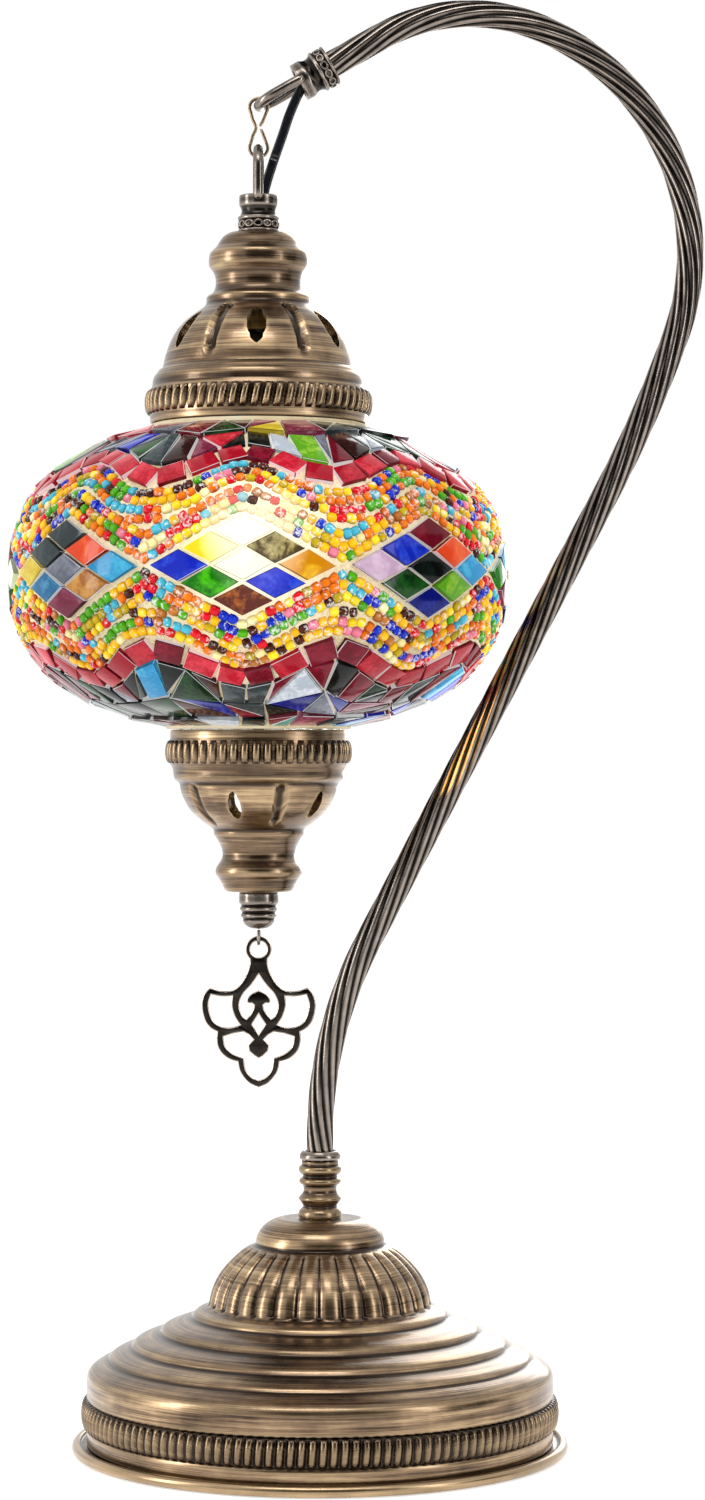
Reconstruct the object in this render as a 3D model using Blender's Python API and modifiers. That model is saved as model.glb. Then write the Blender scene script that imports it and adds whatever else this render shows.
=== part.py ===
"""Mosaic glass table lamp: a stepped base, a twisted swan-neck arm and a hanging mosaic shade.

Lengths below are millimetres, and MM turns them into Blender's metres. +Z is up. The origin is the
middle of the underside of the base. +X points to the side on which the arm bulges, and the front of
the lamp faces -Y, so an angle about Z of -90 degrees looks at the viewer.
"""

import math

import bmesh
import bpy
from mathutils import Matrix, Vector

MM = 0.001
GAP = 0.3
FRONT = -90.0

# Base
BASE_RADIUS = 76.4
BASE_HEIGHT = 76.2
PLATE_RADIUS = 81.3
FLUTE_COUNT = 30
FLUTE_DEPTH = 1.1
ROPE_RADIUS = 78.2
ROPE_RIDGES = 144
ROPE_DEPTH = 1.1
BOWL_SIDES = 36
CORD_BUSH_HEIGHT = 21.2

# Hollow threaded tubes that the lead runs through
TUBE_RADIUS = 4.0
TUBE_BORE = 2.5

# Twisted arm: (length, turn in degrees) of each straight or bent run, from the foot to the tip
ARM_START = 88.5
ARM_RUNS = ((14.0, 0.0), (68.0, 28.0), (164.0, 0.0), (58.0, -8.2), (122.0, -87.4),
            (54.5, -52.0), (22.3, 0.0))
ARM_RADIUS = 4.65
ARM_VALLEY_RADIUS = 3.95
STRAND_COUNT = 10
STRAND_LEAD = 146.0
ARM_STEP = 11.5

# Cast ferrules with a bail, one on the arm's tip and one on the shade
FERRULE_LENGTH = 12.2
FERRULE_MOUTH = 6.4
BAIL_REACH = 15.2
BAIL_WIRE = 1.7
BAIL_HALF_WIDTH = 6.6
ARM_SOCKET_DEPTH = 4.2

# Open figure-eight link between the two bails
LINK_WIRE = 0.55
LINK_LOOP = 3.0
LINK_DROP = 14.2

# Lead
LEAD_RADIUS = 1.6

# Shade: heights of its parts on its own upright axis
GLOBE_MIDDLE = 286.5
GLOBE_RADIUS = 82.5
GLOBE_HALF_HEIGHT = 50.5
GLOBE_SQUARENESS = 2.5
TILE_RISE = 1.5
BEAD_ROWS = 6
BEAD_VALLEY = 0.4
TILE_INSET = 0.7
GROUT_THICKNESS = 2.0
SKIN = TILE_RISE + GROUT_THICKNESS
GLASS_THICKNESS = 2.2
GLASS_STATIONS = 6
NECK_TOP = 33.6
NECK_BOTTOM = 27.0
CAP_SEAT = 336.5
FOOT_CAP_SEAT = 236.2
FOOT_CAP_BOTTOM = 183.2

# Lampholder and bulb
HOLDER_TOP = 365.6
HOLDER_MOUTH = 322.4
BULB_SEAT = 346.8
BULB_MIDDLE = 298.0
BULB_RADIUS = 22.0

# Mosaic pattern
MEDALLIONS = 8
COLUMNS = 6 * MEDALLIONS
MEDALLION_HALF_HEIGHT = 16.5
MEDALLION_PHASE = -2.0

# Pendant
PENDANT_THICKNESS = 1.6
PENDANT_RING = 164.2
PENDANT_RING_HOLE = 2.8
EYE_WIRE = 0.6
EYE_HEIGHT = PENDANT_RING_HOLE - EYE_WIRE - 0.45
EYE_RADIUS = 2.4


# ---------------------------------------------------------------- scene and materials

def clear_scene():
    """Remove every object, so the lamp stands alone."""
    for thing in list(bpy.data.objects):
        bpy.data.objects.remove(thing)


def new_collection(name):
    """Make a collection under the scene's own."""
    collection = bpy.data.collections.new(name)
    bpy.context.scene.collection.children.link(collection)
    return collection


def finish(name, colour, roughness, metallic, alpha=1.0):
    """Make a Principled material."""
    material = bpy.data.materials.new(name)
    material.use_nodes = True
    shader = material.node_tree.nodes["Principled BSDF"]
    shader.inputs["Base Color"].default_value = (*colour, 1.0)
    shader.inputs["Roughness"].default_value = roughness
    shader.inputs["Metallic"].default_value = metallic
    shader.inputs["Alpha"].default_value = alpha
    material.diffuse_color = (*colour, alpha)
    return material


clear_scene()
LAMP = new_collection("mosaic_table_lamp")
CUTTERS = new_collection("cutters")

ANTIQUE_BRASS = finish("antique_brass", (0.33, 0.21, 0.11), 0.34, 1.0)
GUNMETAL = finish("dark_gunmetal", (0.13, 0.115, 0.10), 0.30, 1.0)
POLISHED_BRASS = finish("polished_brass", (0.75, 0.55, 0.22), 0.25, 1.0)
STEEL = finish("zinc_steel", (0.55, 0.55, 0.56), 0.38, 1.0)
FELT = finish("black_felt", (0.02, 0.02, 0.022), 0.95, 0.0)
BLACK_PLASTIC = finish("black_plastic", (0.02, 0.02, 0.022), 0.40, 0.0)
CLEAR_GLASS = finish("clear_glass", (0.92, 0.94, 0.92), 0.06, 0.0, 0.35)
LIT_GLASS = finish("frosted_bulb_glass", (1.0, 0.93, 0.78), 0.45, 0.0, 0.9)
MOSAIC = finish("mosaic_glass", (0.70, 0.30, 0.12), 0.22, 0.0)


# ---------------------------------------------------------------- modelling helpers

def add_part(name, data, material, x=0.0, z=0.0):
    """Put a mesh or a curve into the lamp as a named part."""
    part = bpy.data.objects.new(name, data)
    part.location = (x * MM, 0.0, z * MM)
    data.materials.append(material)
    LAMP.objects.link(part)
    return part


def add_guide(name, data):
    """Put a mesh or a curve among the cutters and guides, which aren't parts."""
    guide = bpy.data.objects.new(name, data)
    guide.hide_render = True
    guide.display_type = "WIRE"
    CUTTERS.objects.link(guide)
    return guide


def evaluated_mesh(thing):
    """Return a new mesh of an object as the viewport shows it, with loose caps welded."""
    bpy.context.view_layer.update()
    graph = bpy.context.evaluated_depsgraph_get()
    mesh = bpy.data.meshes.new_from_object(thing.evaluated_get(graph))
    work = bmesh.new()
    work.from_mesh(mesh)
    bmesh.ops.remove_doubles(work, verts=work.verts, dist=0.00001)
    work.to_mesh(mesh)
    work.free()
    return mesh


def bake(part):
    """Apply a part's modifiers, or turn a curve into a mesh, and return the new part."""
    mesh = evaluated_mesh(part)
    name = part.name
    place = part.matrix_world.copy()
    collection = part.users_collection[0]
    hidden = part.hide_render
    bpy.data.objects.remove(part)
    baked = bpy.data.objects.new(name, mesh)
    baked.matrix_world = place
    baked.hide_render = hidden
    baked.display_type = "WIRE" if hidden else "TEXTURED"
    collection.objects.link(baked)
    return baked


def shade_round(part, angle=35.0):
    """Shade smooth, with edges sharper than the angle kept crisp."""
    part.data.shade_smooth()
    part.data.set_sharp_from_angle(angle=math.radians(angle))
    return part


def boolean(part, tool, operation="DIFFERENCE"):
    """Cut a part with a tool, or join the tool to it."""
    change = part.modifiers.new(tool.name, "BOOLEAN")
    change.operation = operation
    change.solver = "EXACT"
    change.object = tool
    return part


def outline_mesh(name, outline):
    """Make the wire of a turned part: (radius, height) points that run down its outer side."""
    ends_on_axis = outline[0][0] == 0.0
    edges = [(i, i + 1) for i in range(len(outline) - 1)]
    if not ends_on_axis:
        edges.append((len(outline) - 1, 0))
    mesh = bpy.data.meshes.new(name)
    mesh.from_pydata([(r * MM, 0.0, h * MM) for r, h in outline], edges, [])
    return mesh


def turn(part, steps):
    """Sweep a part's outline once round Z."""
    screw = part.modifiers.new("turn", "SCREW")
    screw.axis = "Z"
    screw.angle = math.tau
    screw.steps = steps
    screw.render_steps = steps
    screw.use_merge_vertices = True
    screw.merge_threshold = 0.00001
    return part


def turned(name, outline, steps, material, x=0.0, z=0.0, phase=0.0):
    """Make a turned part from an outline that runs down its outer side and up its bore."""
    part = turn(add_part(name, outline_mesh(name, outline), material, x, z), steps)
    part.rotation_euler.z = math.radians(phase)
    return shade_round(bake(part))


def press(part, count, first, half_width, depth, low, high):
    """Press upright hollows into a turned wall between two heights, fading out at both."""
    for point in part.data.vertices:
        height = point.co.z / MM
        radius = math.hypot(point.co.x, point.co.y) / MM
        if not low < height < high:
            continue
        angle = math.degrees(math.atan2(point.co.y, point.co.x)) - first
        pitch = 360.0 / count
        off_middle = abs((angle + pitch / 2) % pitch - pitch / 2)
        across = max(0.0, 1.0 - off_middle / half_width)
        along = math.sin(math.pi * (height - low) / (high - low)) ** 0.4
        scale = 1.0 - depth * across * along / radius
        point.co.x *= scale
        point.co.y *= scale
    return part


def hollow(part, name, outline, steps, x=0.0):
    """Cut a turned space out of a part; its outline runs down the space's outer side."""
    space = turn(add_guide(name, outline_mesh(name, outline)), steps)
    space.location.x = x * MM
    return boolean(part, space)


def wire(name, route, radius, material, x=0.0, z=0.0):
    """Make a round wire along a route of (x, y, z) points."""
    curve = bpy.data.curves.new(name, "CURVE")
    curve.dimensions = "3D"
    spline = curve.splines.new("POLY")
    spline.points.add(len(route) - 1)
    for point, place in zip(spline.points, route):
        point.co = (place[0] * MM, place[1] * MM, place[2] * MM, 1.0)
    curve.bevel_depth = radius * MM
    curve.bevel_resolution = 2
    curve.use_fill_caps = True
    return shade_round(bake(add_part(name, curve, material, x, z)))


def plate(name, outlines, thickness, material):
    """Make a flat plate that stands in the XZ plane from an outer outline and its holes."""
    curve = bpy.data.curves.new(name, "CURVE")
    curve.dimensions = "2D"
    curve.fill_mode = "BOTH"
    curve.extrude = thickness * MM / 2
    for outline in outlines:
        spline = curve.splines.new("POLY")
        spline.points.add(len(outline) - 1)
        for point, (across, up) in zip(spline.points, outline):
            point.co = (across * MM, up * MM, 0.0, 1.0)
        spline.use_cyclic_u = True
    part = add_part(name, curve, material)
    part.rotation_euler.x = math.radians(90.0)
    return bake(part)


def arc(centre, radius, start, end, count):
    """Return points of an arc in a plane, its angles in degrees."""
    points = []
    for i in range(count + 1):
        angle = math.radians(start + (end - start) * i / count)
        points.append((centre[0] + radius * math.cos(angle), centre[1] + radius * math.sin(angle)))
    return points


def smooth_route(points, count):
    """Return evenly timed points of a Catmull-Rom curve through a few hand-chosen points."""
    ends = [points[0]] + list(points) + [points[-1]]
    spans = len(points) - 1
    route = []
    for step in range(count + 1):
        time = step / count * spans
        span = min(int(time), spans - 1)
        t = time - span
        a, b, c, d = (Vector(ends[span + k]) for k in range(4))
        route.append(0.5 * (2 * b + (c - a) * t + (2 * a - 5 * b + 4 * c - d) * t ** 2
                            + (3 * b - a - 3 * c + d) * t ** 3))
    return route


def hang(pivot_name, x, z, parts):
    """Parent moving parts to an empty that stands on their joint's axis."""
    pivot = bpy.data.objects.new(pivot_name, None)
    pivot.location = (x * MM, 0.0, z * MM)
    LAMP.objects.link(pivot)
    for part in parts:
        part.parent = pivot
        part.matrix_parent_inverse = Matrix.Translation(pivot.location).inverted()
    return pivot


# ---------------------------------------------------------------- arm path

def arm_path(spacing):
    """Return (x, z, heading) along the arm's middle line; heading is in degrees from +Z to +X."""
    x, z, heading = 0.0, ARM_START, 0.0
    path = [(x, z, heading)]
    for length, bend in ARM_RUNS:
        count = max(1, round(length / spacing))
        for _ in range(count):
            middle = math.radians(heading + bend / count / 2)
            chord = length / count
            if bend:
                half = math.radians(abs(bend) / count / 2)
                chord *= math.sin(half) / half
            x += chord * math.sin(middle)
            z += chord * math.cos(middle)
            heading += bend / count
            path.append((x, z, heading))
    return path


TIP_X, TIP_Z, TIP_HEADING = arm_path(ARM_STEP)[-1]
TIP_LEAN = math.radians(TIP_HEADING)
CROWN_DISTANCE = FERRULE_LENGTH - ARM_SOCKET_DEPTH + BAIL_REACH
CROWN_X = TIP_X + CROWN_DISTANCE * math.sin(TIP_LEAN)
CROWN_Z = TIP_Z + CROWN_DISTANCE * math.cos(TIP_LEAN)
SHADE_X = CROWN_X
SHADE_CROWN_Z = CROWN_Z - LINK_DROP
SHADE_MOUTH_Z = SHADE_CROWN_Z - BAIL_REACH
CAP_TOP = SHADE_MOUTH_Z - FERRULE_LENGTH - GAP


# ---------------------------------------------------------------- base

def base_shell():
    """Spun brass base: a stepped bowl and a fluted dome with a flat button on top."""
    bowl = [(0.0, 47.6), (38.6, 46.9), (43.8, 42.7), (49.7, 40.7), (51.7, 38.7), (57.7, 36.8), (60.5, 34.8),
            (68.1, 31.0), (71.2, 28.8), (75.2, 26.8), (BASE_RADIUS, 24.4), (BASE_RADIUS, 17.9),
            (ROPE_RADIUS, 16.0), (ROPE_RADIUS, 10.2), (BASE_RADIUS, 8.3), (BASE_RADIUS, 3.0), (0.0, 3.0)]
    dome = [(0.0, BASE_HEIGHT), (13.6, BASE_HEIGHT), (18.0, 73.8), (21.2, 68.2), (25.2, 66.2), (29.6, 62.2),
            (33.2, 57.0), (35.2, 52.0), (36.4, 48.4), (36.4, 40.0), (0.0, 40.0)]
    space = [(TUBE_RADIUS + GAP, 80.0), (TUBE_RADIUS + GAP, 74.9), (12.6, 74.9), (16.0, 70.6), (20.6, 65.4),
             (30.6, 55.0), (33.8, 45.0), (59.0, 33.2), (75.2, 24.0), (75.2, 0.0), (0.0, 0.0), (0.0, 80.0)]
    shell = turned("base_shell", bowl, BOWL_SIDES, ANTIQUE_BRASS)
    rope_ridges(shell)
    crown = turned("base_dome", dome, 2 * FLUTE_COUNT, ANTIQUE_BRASS)
    press(crown, FLUTE_COUNT, 180.0 / FLUTE_COUNT, 4.0, FLUTE_DEPTH, 47.5, 67.5)
    boolean(shell, crown, "UNION")
    hollow(shell, "base_space", space[-1:] + space[:-1], 24)
    hole = cutter_cylinder("cord_hole", 3.3, 12.0)
    hole.rotation_euler.x = math.radians(90.0)
    hole.location = (0.0, BASE_RADIUS * MM, CORD_BUSH_HEIGHT * MM)
    boolean(shell, hole)
    shell = shade_round(bake(shell))
    bpy.data.objects.remove(crown)
    return shell


def rope_ridges(bowl):
    """Split the rope band's faces, and press a hollow between every two ridges."""
    work = bmesh.new()
    work.from_mesh(bowl.data)
    low, high = 8.0 * MM, 18.2 * MM
    band = {vert for vert in work.verts if low < vert.co.z < high and vert.co.xy.length > 70.0 * MM}
    level = [edge for edge in work.edges if band.issuperset(edge.verts)]
    level = [edge for edge in level if abs(edge.verts[0].co.z - edge.verts[1].co.z) < 0.01 * MM]
    bmesh.ops.subdivide_edges(work, edges=level, cuts=2 * ROPE_RIDGES // BOWL_SIDES - 1)
    for vert in work.verts:
        if not 9.0 * MM < vert.co.z < 17.0 * MM or vert.co.xy.length < 70.0 * MM:
            continue
        angle = math.atan2(vert.co.y, vert.co.x)
        place = round(angle * ROPE_RIDGES / math.pi)
        radius = (ROPE_RADIUS - ROPE_DEPTH * (place % 2)) * MM
        vert.co.x = radius * math.cos(angle)
        vert.co.y = radius * math.sin(angle)
    work.to_mesh(bowl.data)
    work.free()


def cutter_cylinder(name, radius, length, sides=16):
    """Make a round cutter along Z."""
    mesh = bpy.data.meshes.new(name)
    work = bmesh.new()
    bmesh.ops.create_cone(work, cap_ends=True, segments=sides, radius1=radius * MM,
                          radius2=radius * MM, depth=length * MM)
    work.to_mesh(mesh)
    work.free()
    return add_guide(name, mesh)


def base_plate():
    """Bottom pan with a rolled rim, raised in the middle to clear the lower nut."""
    rim = PLATE_RADIUS - 1.9
    outline = [(TUBE_RADIUS + GAP, 7.2), (16.0, 7.2), (20.5, 2.7), (rim - 1.2, 2.7), (rim, 4.1),
               (PLATE_RADIUS, 3.0), (PLATE_RADIUS, 1.4), (rim, 0.3), (rim - 1.2, 1.5), (19.5, 1.5),
               (15.4, 6.0), (TUBE_RADIUS + GAP, 6.0)]
    return turned("base_plate", outline, 36, ANTIQUE_BRASS)


def felt_pad():
    """Felt disc that the lamp rests on."""
    return turned("felt_pad", [(0.0, 1.2), (76.0, 1.2), (76.0, 0.0), (0.0, 0.0)], 32, FELT)


def ring(name, inner, outer, low, high, material, sides=16, x=0.0):
    """Flat ring round a thread or a tube."""
    outline = [(inner, high), (outer, high), (outer, low), (inner, low)]
    return turned(name, outline, sides, material, x)


def nut(name, thread, corner, low, high, x=0.0):
    """Hexagon nut whose flat-sided bore clears a thread of that radius."""
    return ring(name, (thread + GAP) / math.cos(math.radians(30.0)), corner, low, high, STEEL, 6, x)


def base_fasteners():
    """Hollow threaded rod through the base, with a washer and a nut at each end."""
    bore = TUBE_RADIUS + GAP
    ring("threaded_tube", TUBE_BORE, TUBE_RADIUS, 2.4, 85.4, POLISHED_BRASS, 12)
    nut("lower_nut", TUBE_RADIUS, 8.0, 2.2, 5.6)
    ring("upper_washer", bore, 9.5, 73.4, 74.6, STEEL)
    nut("upper_nut", TUBE_RADIUS, 8.0, 69.7, 73.1)


def cord_bush():
    """Plastic bush in the back of the base, where the mains lead leaves."""
    wall = BASE_RADIUS - 1.2
    outline = [(1.9, BASE_RADIUS + 1.7), (3.0, BASE_RADIUS + 1.7), (3.7, BASE_RADIUS + GAP + 0.2),
               (3.0, BASE_RADIUS + GAP + 0.2), (3.0, wall - 1.4), (1.9, wall - 1.4)]
    bush = turned("cord_bush", outline, 12, BLACK_PLASTIC)
    bush.matrix_world = Matrix.Translation((0, 0, CORD_BUSH_HEIGHT * MM)) @ Matrix.Rotation(
        math.radians(-90.0), 4, "X")
    return bush


def stem_collar():
    """Turned brass collar with four beads that joins the arm to the base."""
    thread = TUBE_RADIUS + GAP
    socket = ARM_RADIUS + GAP
    outline = [(socket, 95.0), (6.2, 95.0), (6.0, 93.2), (7.05, 92.4), (7.05, 91.2), (5.9, 90.0),
               (6.9, 88.2), (5.7, 87.0), (5.7, 84.6), (7.05, 82.6), (5.7, 79.8), (7.05, 78.0),
               (7.05, BASE_HEIGHT + GAP), (thread, BASE_HEIGHT + GAP), (thread, 86.0), (3.2, 86.0),
               (3.2, 88.2), (socket, 88.2)]
    return turned("stem_collar", outline, 16, ANTIQUE_BRASS)


def foot_ferrule():
    """Dark flared cup round the foot of the arm."""
    bore = ARM_RADIUS + GAP
    outline = [(bore, 98.2), (5.7, 98.2), (6.7, 96.9), (6.7, 95.3), (bore, 95.3)]
    return turned("foot_ferrule", outline, 16, GUNMETAL)


# ---------------------------------------------------------------- arm

def strand_section():
    """Return the arm's fluted cross-section, a valley and a crest for each strand."""
    points = []
    for half in range(2 * STRAND_COUNT):
        angle = math.pi * half / STRAND_COUNT
        radius = ARM_RADIUS if half % 2 else ARM_VALLEY_RADIUS
        points.append((radius * math.cos(angle), -radius * math.sin(angle)))
    return points


def guide_outline(name, outline):
    """Make a closed flat guide curve, for use as a sweep's cross-section."""
    curve = bpy.data.curves.new(name, "CURVE")
    curve.dimensions = "2D"
    spline = curve.splines.new("POLY")
    spline.points.add(len(outline) - 1)
    for point, (across, up) in zip(spline.points, outline):
        point.co = (across * MM, up * MM, 0.0, 1.0)
    spline.use_cyclic_u = True
    return add_guide(name, curve)


def twisted_arm():
    """Swan-neck bar of strands that wind round it, swept along the path with a steady twist."""
    path = arm_path(ARM_STEP)
    curve = bpy.data.curves.new("twisted_arm", "CURVE")
    curve.dimensions = "3D"
    curve.twist_mode = "MINIMUM"
    spline = curve.splines.new("POLY")
    spline.points.add(len(path) - 1)
    run = 0.0
    before = path[0]
    for point, place in zip(spline.points, path):
        run += math.hypot(place[0] - before[0], place[1] - before[1])
        point.co = (place[0] * MM, 0.0, place[1] * MM, 1.0)
        point.tilt = -math.tau * run / STRAND_LEAD
        before = place
    curve.bevel_mode = "OBJECT"
    curve.bevel_object = guide_outline("strand_section", strand_section())
    curve.use_fill_caps = True
    return shade_round(bake(add_part("twisted_arm", curve, GUNMETAL)), 50.0)


# ---------------------------------------------------------------- ferrules, link and lead

def bail_ferrule(name, socket, socket_depth):
    """Cast ferrule with a loop of wire: its mouth is at height 0 and its bail rises above it."""
    bore = 4.9
    foot = -FERRULE_LENGTH
    outline = [(bore, 0.0), (FERRULE_MOUTH, 0.0), (FERRULE_MOUTH, -3.4), (5.9, -3.9), (5.9, -6.2),
               (6.9, -7.2), (6.5, -9.6), (6.9, -12.2), (6.5, foot), (socket, foot),
               (socket, foot + socket_depth), (3.0, foot + socket_depth), (bore, foot + socket_depth + 2.4)]
    body = turned(name, outline, 16, GUNMETAL)
    shoulder = BAIL_REACH - BAIL_HALF_WIDTH
    bow = arc((0.0, shoulder), BAIL_HALF_WIDTH, 180.0, 0.0, 7)
    legs = [(-BAIL_HALF_WIDTH, -2.2)] + bow + [(BAIL_HALF_WIDTH, -2.2)]
    bail = wire(name + "_bail", [(0.0, y, z) for y, z in legs], BAIL_WIRE, GUNMETAL)
    clearance = cutter_cylinder(name + "_bore", bore, 9.0)
    clearance.location.z = -1.2 * MM
    boolean(bail, clearance)
    boolean(body, bail, "UNION")
    body = shade_round(bake(body))
    bpy.data.objects.remove(bail)
    return body


def tip_ferrule():
    """Ferrule on the arm's tip; its bail points down and away from the arm."""
    part = bail_ferrule("tip_ferrule", ARM_RADIUS + GAP, ARM_SOCKET_DEPTH + GAP)
    out = CROWN_DISTANCE - BAIL_REACH
    place = Vector((TIP_X + out * math.sin(TIP_LEAN), 0.0, TIP_Z + out * math.cos(TIP_LEAN))) * MM
    part.matrix_world = Matrix.Translation(place) @ Matrix.Rotation(TIP_LEAN, 4, "Y")
    return part


def shade_ferrule():
    """Ferrule on top of the shade, its bail upright."""
    part = bail_ferrule("shade_ferrule", TUBE_RADIUS + GAP, 6.0)
    part.location = Vector((SHADE_X, 0.0, SHADE_MOUTH_Z)) * MM
    return part


def hanging_link():
    """Open figure-eight of wire: one loop over each bail, nipped in between and open on one side."""
    reach = BAIL_WIRE + GAP + LINK_WIRE
    top = reach - LINK_LOOP
    bottom = -LINK_DROP - reach + LINK_LOOP
    middle = (top + bottom) / 2
    upper = arc((0.0, top), LINK_LOOP, -28.0, 208.0, 9)
    lower = arc((0.0, bottom), LINK_LOOP, 152.0, 388.0, 9)
    route = [(0.9, middle + 1.0)] + upper + [(-0.9, middle)] + lower + [(1.1, middle - 1.3)]
    return wire("hanging_link", [(x, 0.0, z) for x, z in route], LINK_WIRE, ANTIQUE_BRASS, CROWN_X, CROWN_Z)


def lamp_lead():
    """Lead from the end of the arm, across to the shade and down to the lampholder."""
    out = Vector((math.sin(TIP_LEAN), 0.0, math.cos(TIP_LEAN)))
    tip = Vector((TIP_X, 0.0, TIP_Z))
    points = [tip + out * GAP, tip + out * 4.0, (-6.2, 0.0, 446.6), (-9.9, 0.0, 438.3), (-12.3, 0.0, 431.2),
              (-14.9, 0.0, 423.8), (-17.4, 0.0, 416.0), (SHADE_X + 1.2, 0.0, 409.6),
              (SHADE_X + 0.2, 0.0, 403.5), (SHADE_X, 0.0, 397.0), (SHADE_X, 0.0, HOLDER_TOP + 0.4)]
    return wire("lamp_lead", smooth_route(points, 20), LEAD_RADIUS, BLACK_PLASTIC)


# ---------------------------------------------------------------- shade metalwork

def slot_cutter(name, count, first, length, width, height, radius, lean):
    """Make a ring of ornamental slots: pointed at both ends, with a step in each flank."""
    half = [(0.0, 0.5), (0.33, 0.37), (0.36, 0.26), (0.5, 0.17), (0.5, -0.17), (0.36, -0.26), (0.33, -0.37)]
    other = [(-across, up) for across, up in reversed(half[1:])]
    shape = [(across * width, up * length) for across, up in half + [(0.0, -0.5)] + other]
    single = plate(name, [shape], 10.0, ANTIQUE_BRASS)
    stamp = bmesh.new()
    for index in range(count):
        copy = bmesh.new()
        copy.from_mesh(single.data)
        turn_about = Matrix.Rotation(math.radians(first + 360.0 * index / count + 90.0), 4, "Z")
        place = turn_about @ Matrix.Translation((0.0, -radius * MM, height * MM))
        place = place @ Matrix.Rotation(math.radians(lean), 4, "X") @ single.matrix_world.to_3x3().to_4x4()
        copy.transform(place)
        mesh = bpy.data.meshes.new(name)
        copy.to_mesh(mesh)
        stamp.from_mesh(mesh)
        copy.free()
        bpy.data.meshes.remove(mesh)
    mesh = bpy.data.meshes.new(name)
    stamp.to_mesh(mesh)
    stamp.free()
    bpy.data.objects.remove(single)
    guide = add_guide(name, mesh)
    guide.location.x = SHADE_X * MM
    return guide


def top_cap():
    """Spun top cap: a turned neck over a bell with pressed grooves and pierced slots."""
    outline = [(0.0, CAP_TOP), (9.0, CAP_TOP), (14.9, 393.2), (16.1, 391.6), (16.1, 388.6), (13.9, 384.4),
               (14.4, 380.2), (17.2, 376.2), (20.2, 373.0), (24.8, 369.0), (28.8, 363.6), (30.9, 358.6),
               (32.0, 353.6), (34.8, 350.2), (37.3, 346.2), (37.3, 341.0), (35.6, 339.2), (35.6, CAP_SEAT),
               (0.0, CAP_SEAT)]
    neck = TUBE_RADIUS + GAP
    roof = CAP_TOP - 1.8
    space = [(0.0, 405.0), (neck, 405.0), (neck, roof), (9.2, roof), (12.2, 391.0), (12.2, 380.0),
             (22.6, 368.4), (29.0, 357.0), (31.0, 350.4), (34.4, 345.4), (34.4, 330.0), (0.0, 330.0)]
    cap = turned("top_cap", outline, 36, ANTIQUE_BRASS, SHADE_X)
    press(cap, 6, 0.0, 6.0, 0.8, 355.0, 375.5)
    hollow(cap, "top_space", space, 24, SHADE_X)
    boolean(cap, slot_cutter("top_slots", 6, FRONT, 14.0, 6.0, 367.0, 25.6, -45.0))
    return shade_round(bake(cap))


def bottom_cap():
    """Spun bottom cap: the same bell turned over, tapering to a beaded foot."""
    outline = [(0.0, FOOT_CAP_SEAT), (29.0, FOOT_CAP_SEAT), (29.0, 233.4), (30.7, 231.4), (30.7, 227.0),
               (28.7, 224.8), (27.6, 221.0), (25.4, 216.5), (22.0, 210.0), (17.6, 205.4), (14.0, 202.8),
               (11.8, 197.6), (11.9, 193.0), (13.8, 190.4), (13.2, 188.0), (9.8, FOOT_CAP_BOTTOM),
               (0.0, FOOT_CAP_BOTTOM)]
    space = [(0.0, 245.0), (27.6, 245.0), (27.6, 227.0), (25.8, 221.6), (19.6, 210.0), (12.0, 203.2),
             (9.6, 196.0), (8.8, 185.8), (2.4, 184.4), (2.4, 175.0), (0.0, 175.0)]
    cap = turned("bottom_cap", outline, 30, ANTIQUE_BRASS, SHADE_X)
    press(cap, 5, FRONT + 18.0, 6.5, 0.8, 204.0, 222.5)
    hollow(cap, "bottom_space", space, 20, SHADE_X)
    boolean(cap, slot_cutter("bottom_slots", 5, FRONT - 18.0, 10.4, 4.2, 212.0, 23.0, 30.0))
    return shade_round(bake(cap))


def shade_fittings():
    """Hollow tube, nuts, flange and crossbars that clamp the caps to the glass."""
    bore = TUBE_RADIUS + GAP
    ring("cap_tube", TUBE_BORE, TUBE_RADIUS, HOLDER_TOP + 0.4, CAP_TOP + 5.4, POLISHED_BRASS, 12, SHADE_X)
    nut("cap_nut", TUBE_RADIUS, 8.0, CAP_TOP - 5.6, CAP_TOP - 2.1, SHADE_X)
    ring("holder_flange", bore, 16.0, 366.0, 367.3, POLISHED_BRASS, 16, SHADE_X)
    ring("shade_ring", 14.6, 18.6, 321.6, 325.5, BLACK_PLASTIC, 20, SHADE_X)
    crossbar("upper_crossbar", 35.0, 9.0, 17.4, 14.4, 325.8, 327.0)
    crossbar("lower_crossbar", 30.5, 6.0, 6.0, 2.4, 244.6, 246.0)
    ring("tie_rod", 0.0, 2.0, 174.6, 250.6, STEEL, 10, SHADE_X)
    nut("tie_nut", 2.0, 4.6, 246.4, 249.0, SHADE_X)


def crossbar(name, half_length, half_width, eye, hole, low, high):
    """Flat bar with a round eye in the middle and round ends, pierced in the middle."""
    shoulder = math.degrees(math.asin(half_width / eye)) if eye > half_width else 90.0
    end = half_length - half_width
    right = arc((end, 0.0), half_width, -90.0, 90.0, 6)
    left = arc((-end, 0.0), half_width, 90.0, 270.0, 6)
    over = arc((0.0, 0.0), eye, shoulder, 180.0 - shoulder, 6) if eye > half_width else []
    under = [(x, -y) for x, y in reversed(over)]
    hole_edge = arc((0.0, 0.0), hole, 0.0, 337.5, 15)
    bar = plate(name, [right + over + left + under, hole_edge], high - low, STEEL)
    bar.matrix_world = Matrix.Translation((SHADE_X * MM, 0.0, (low + high) / 2 * MM))
    return bar


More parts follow.
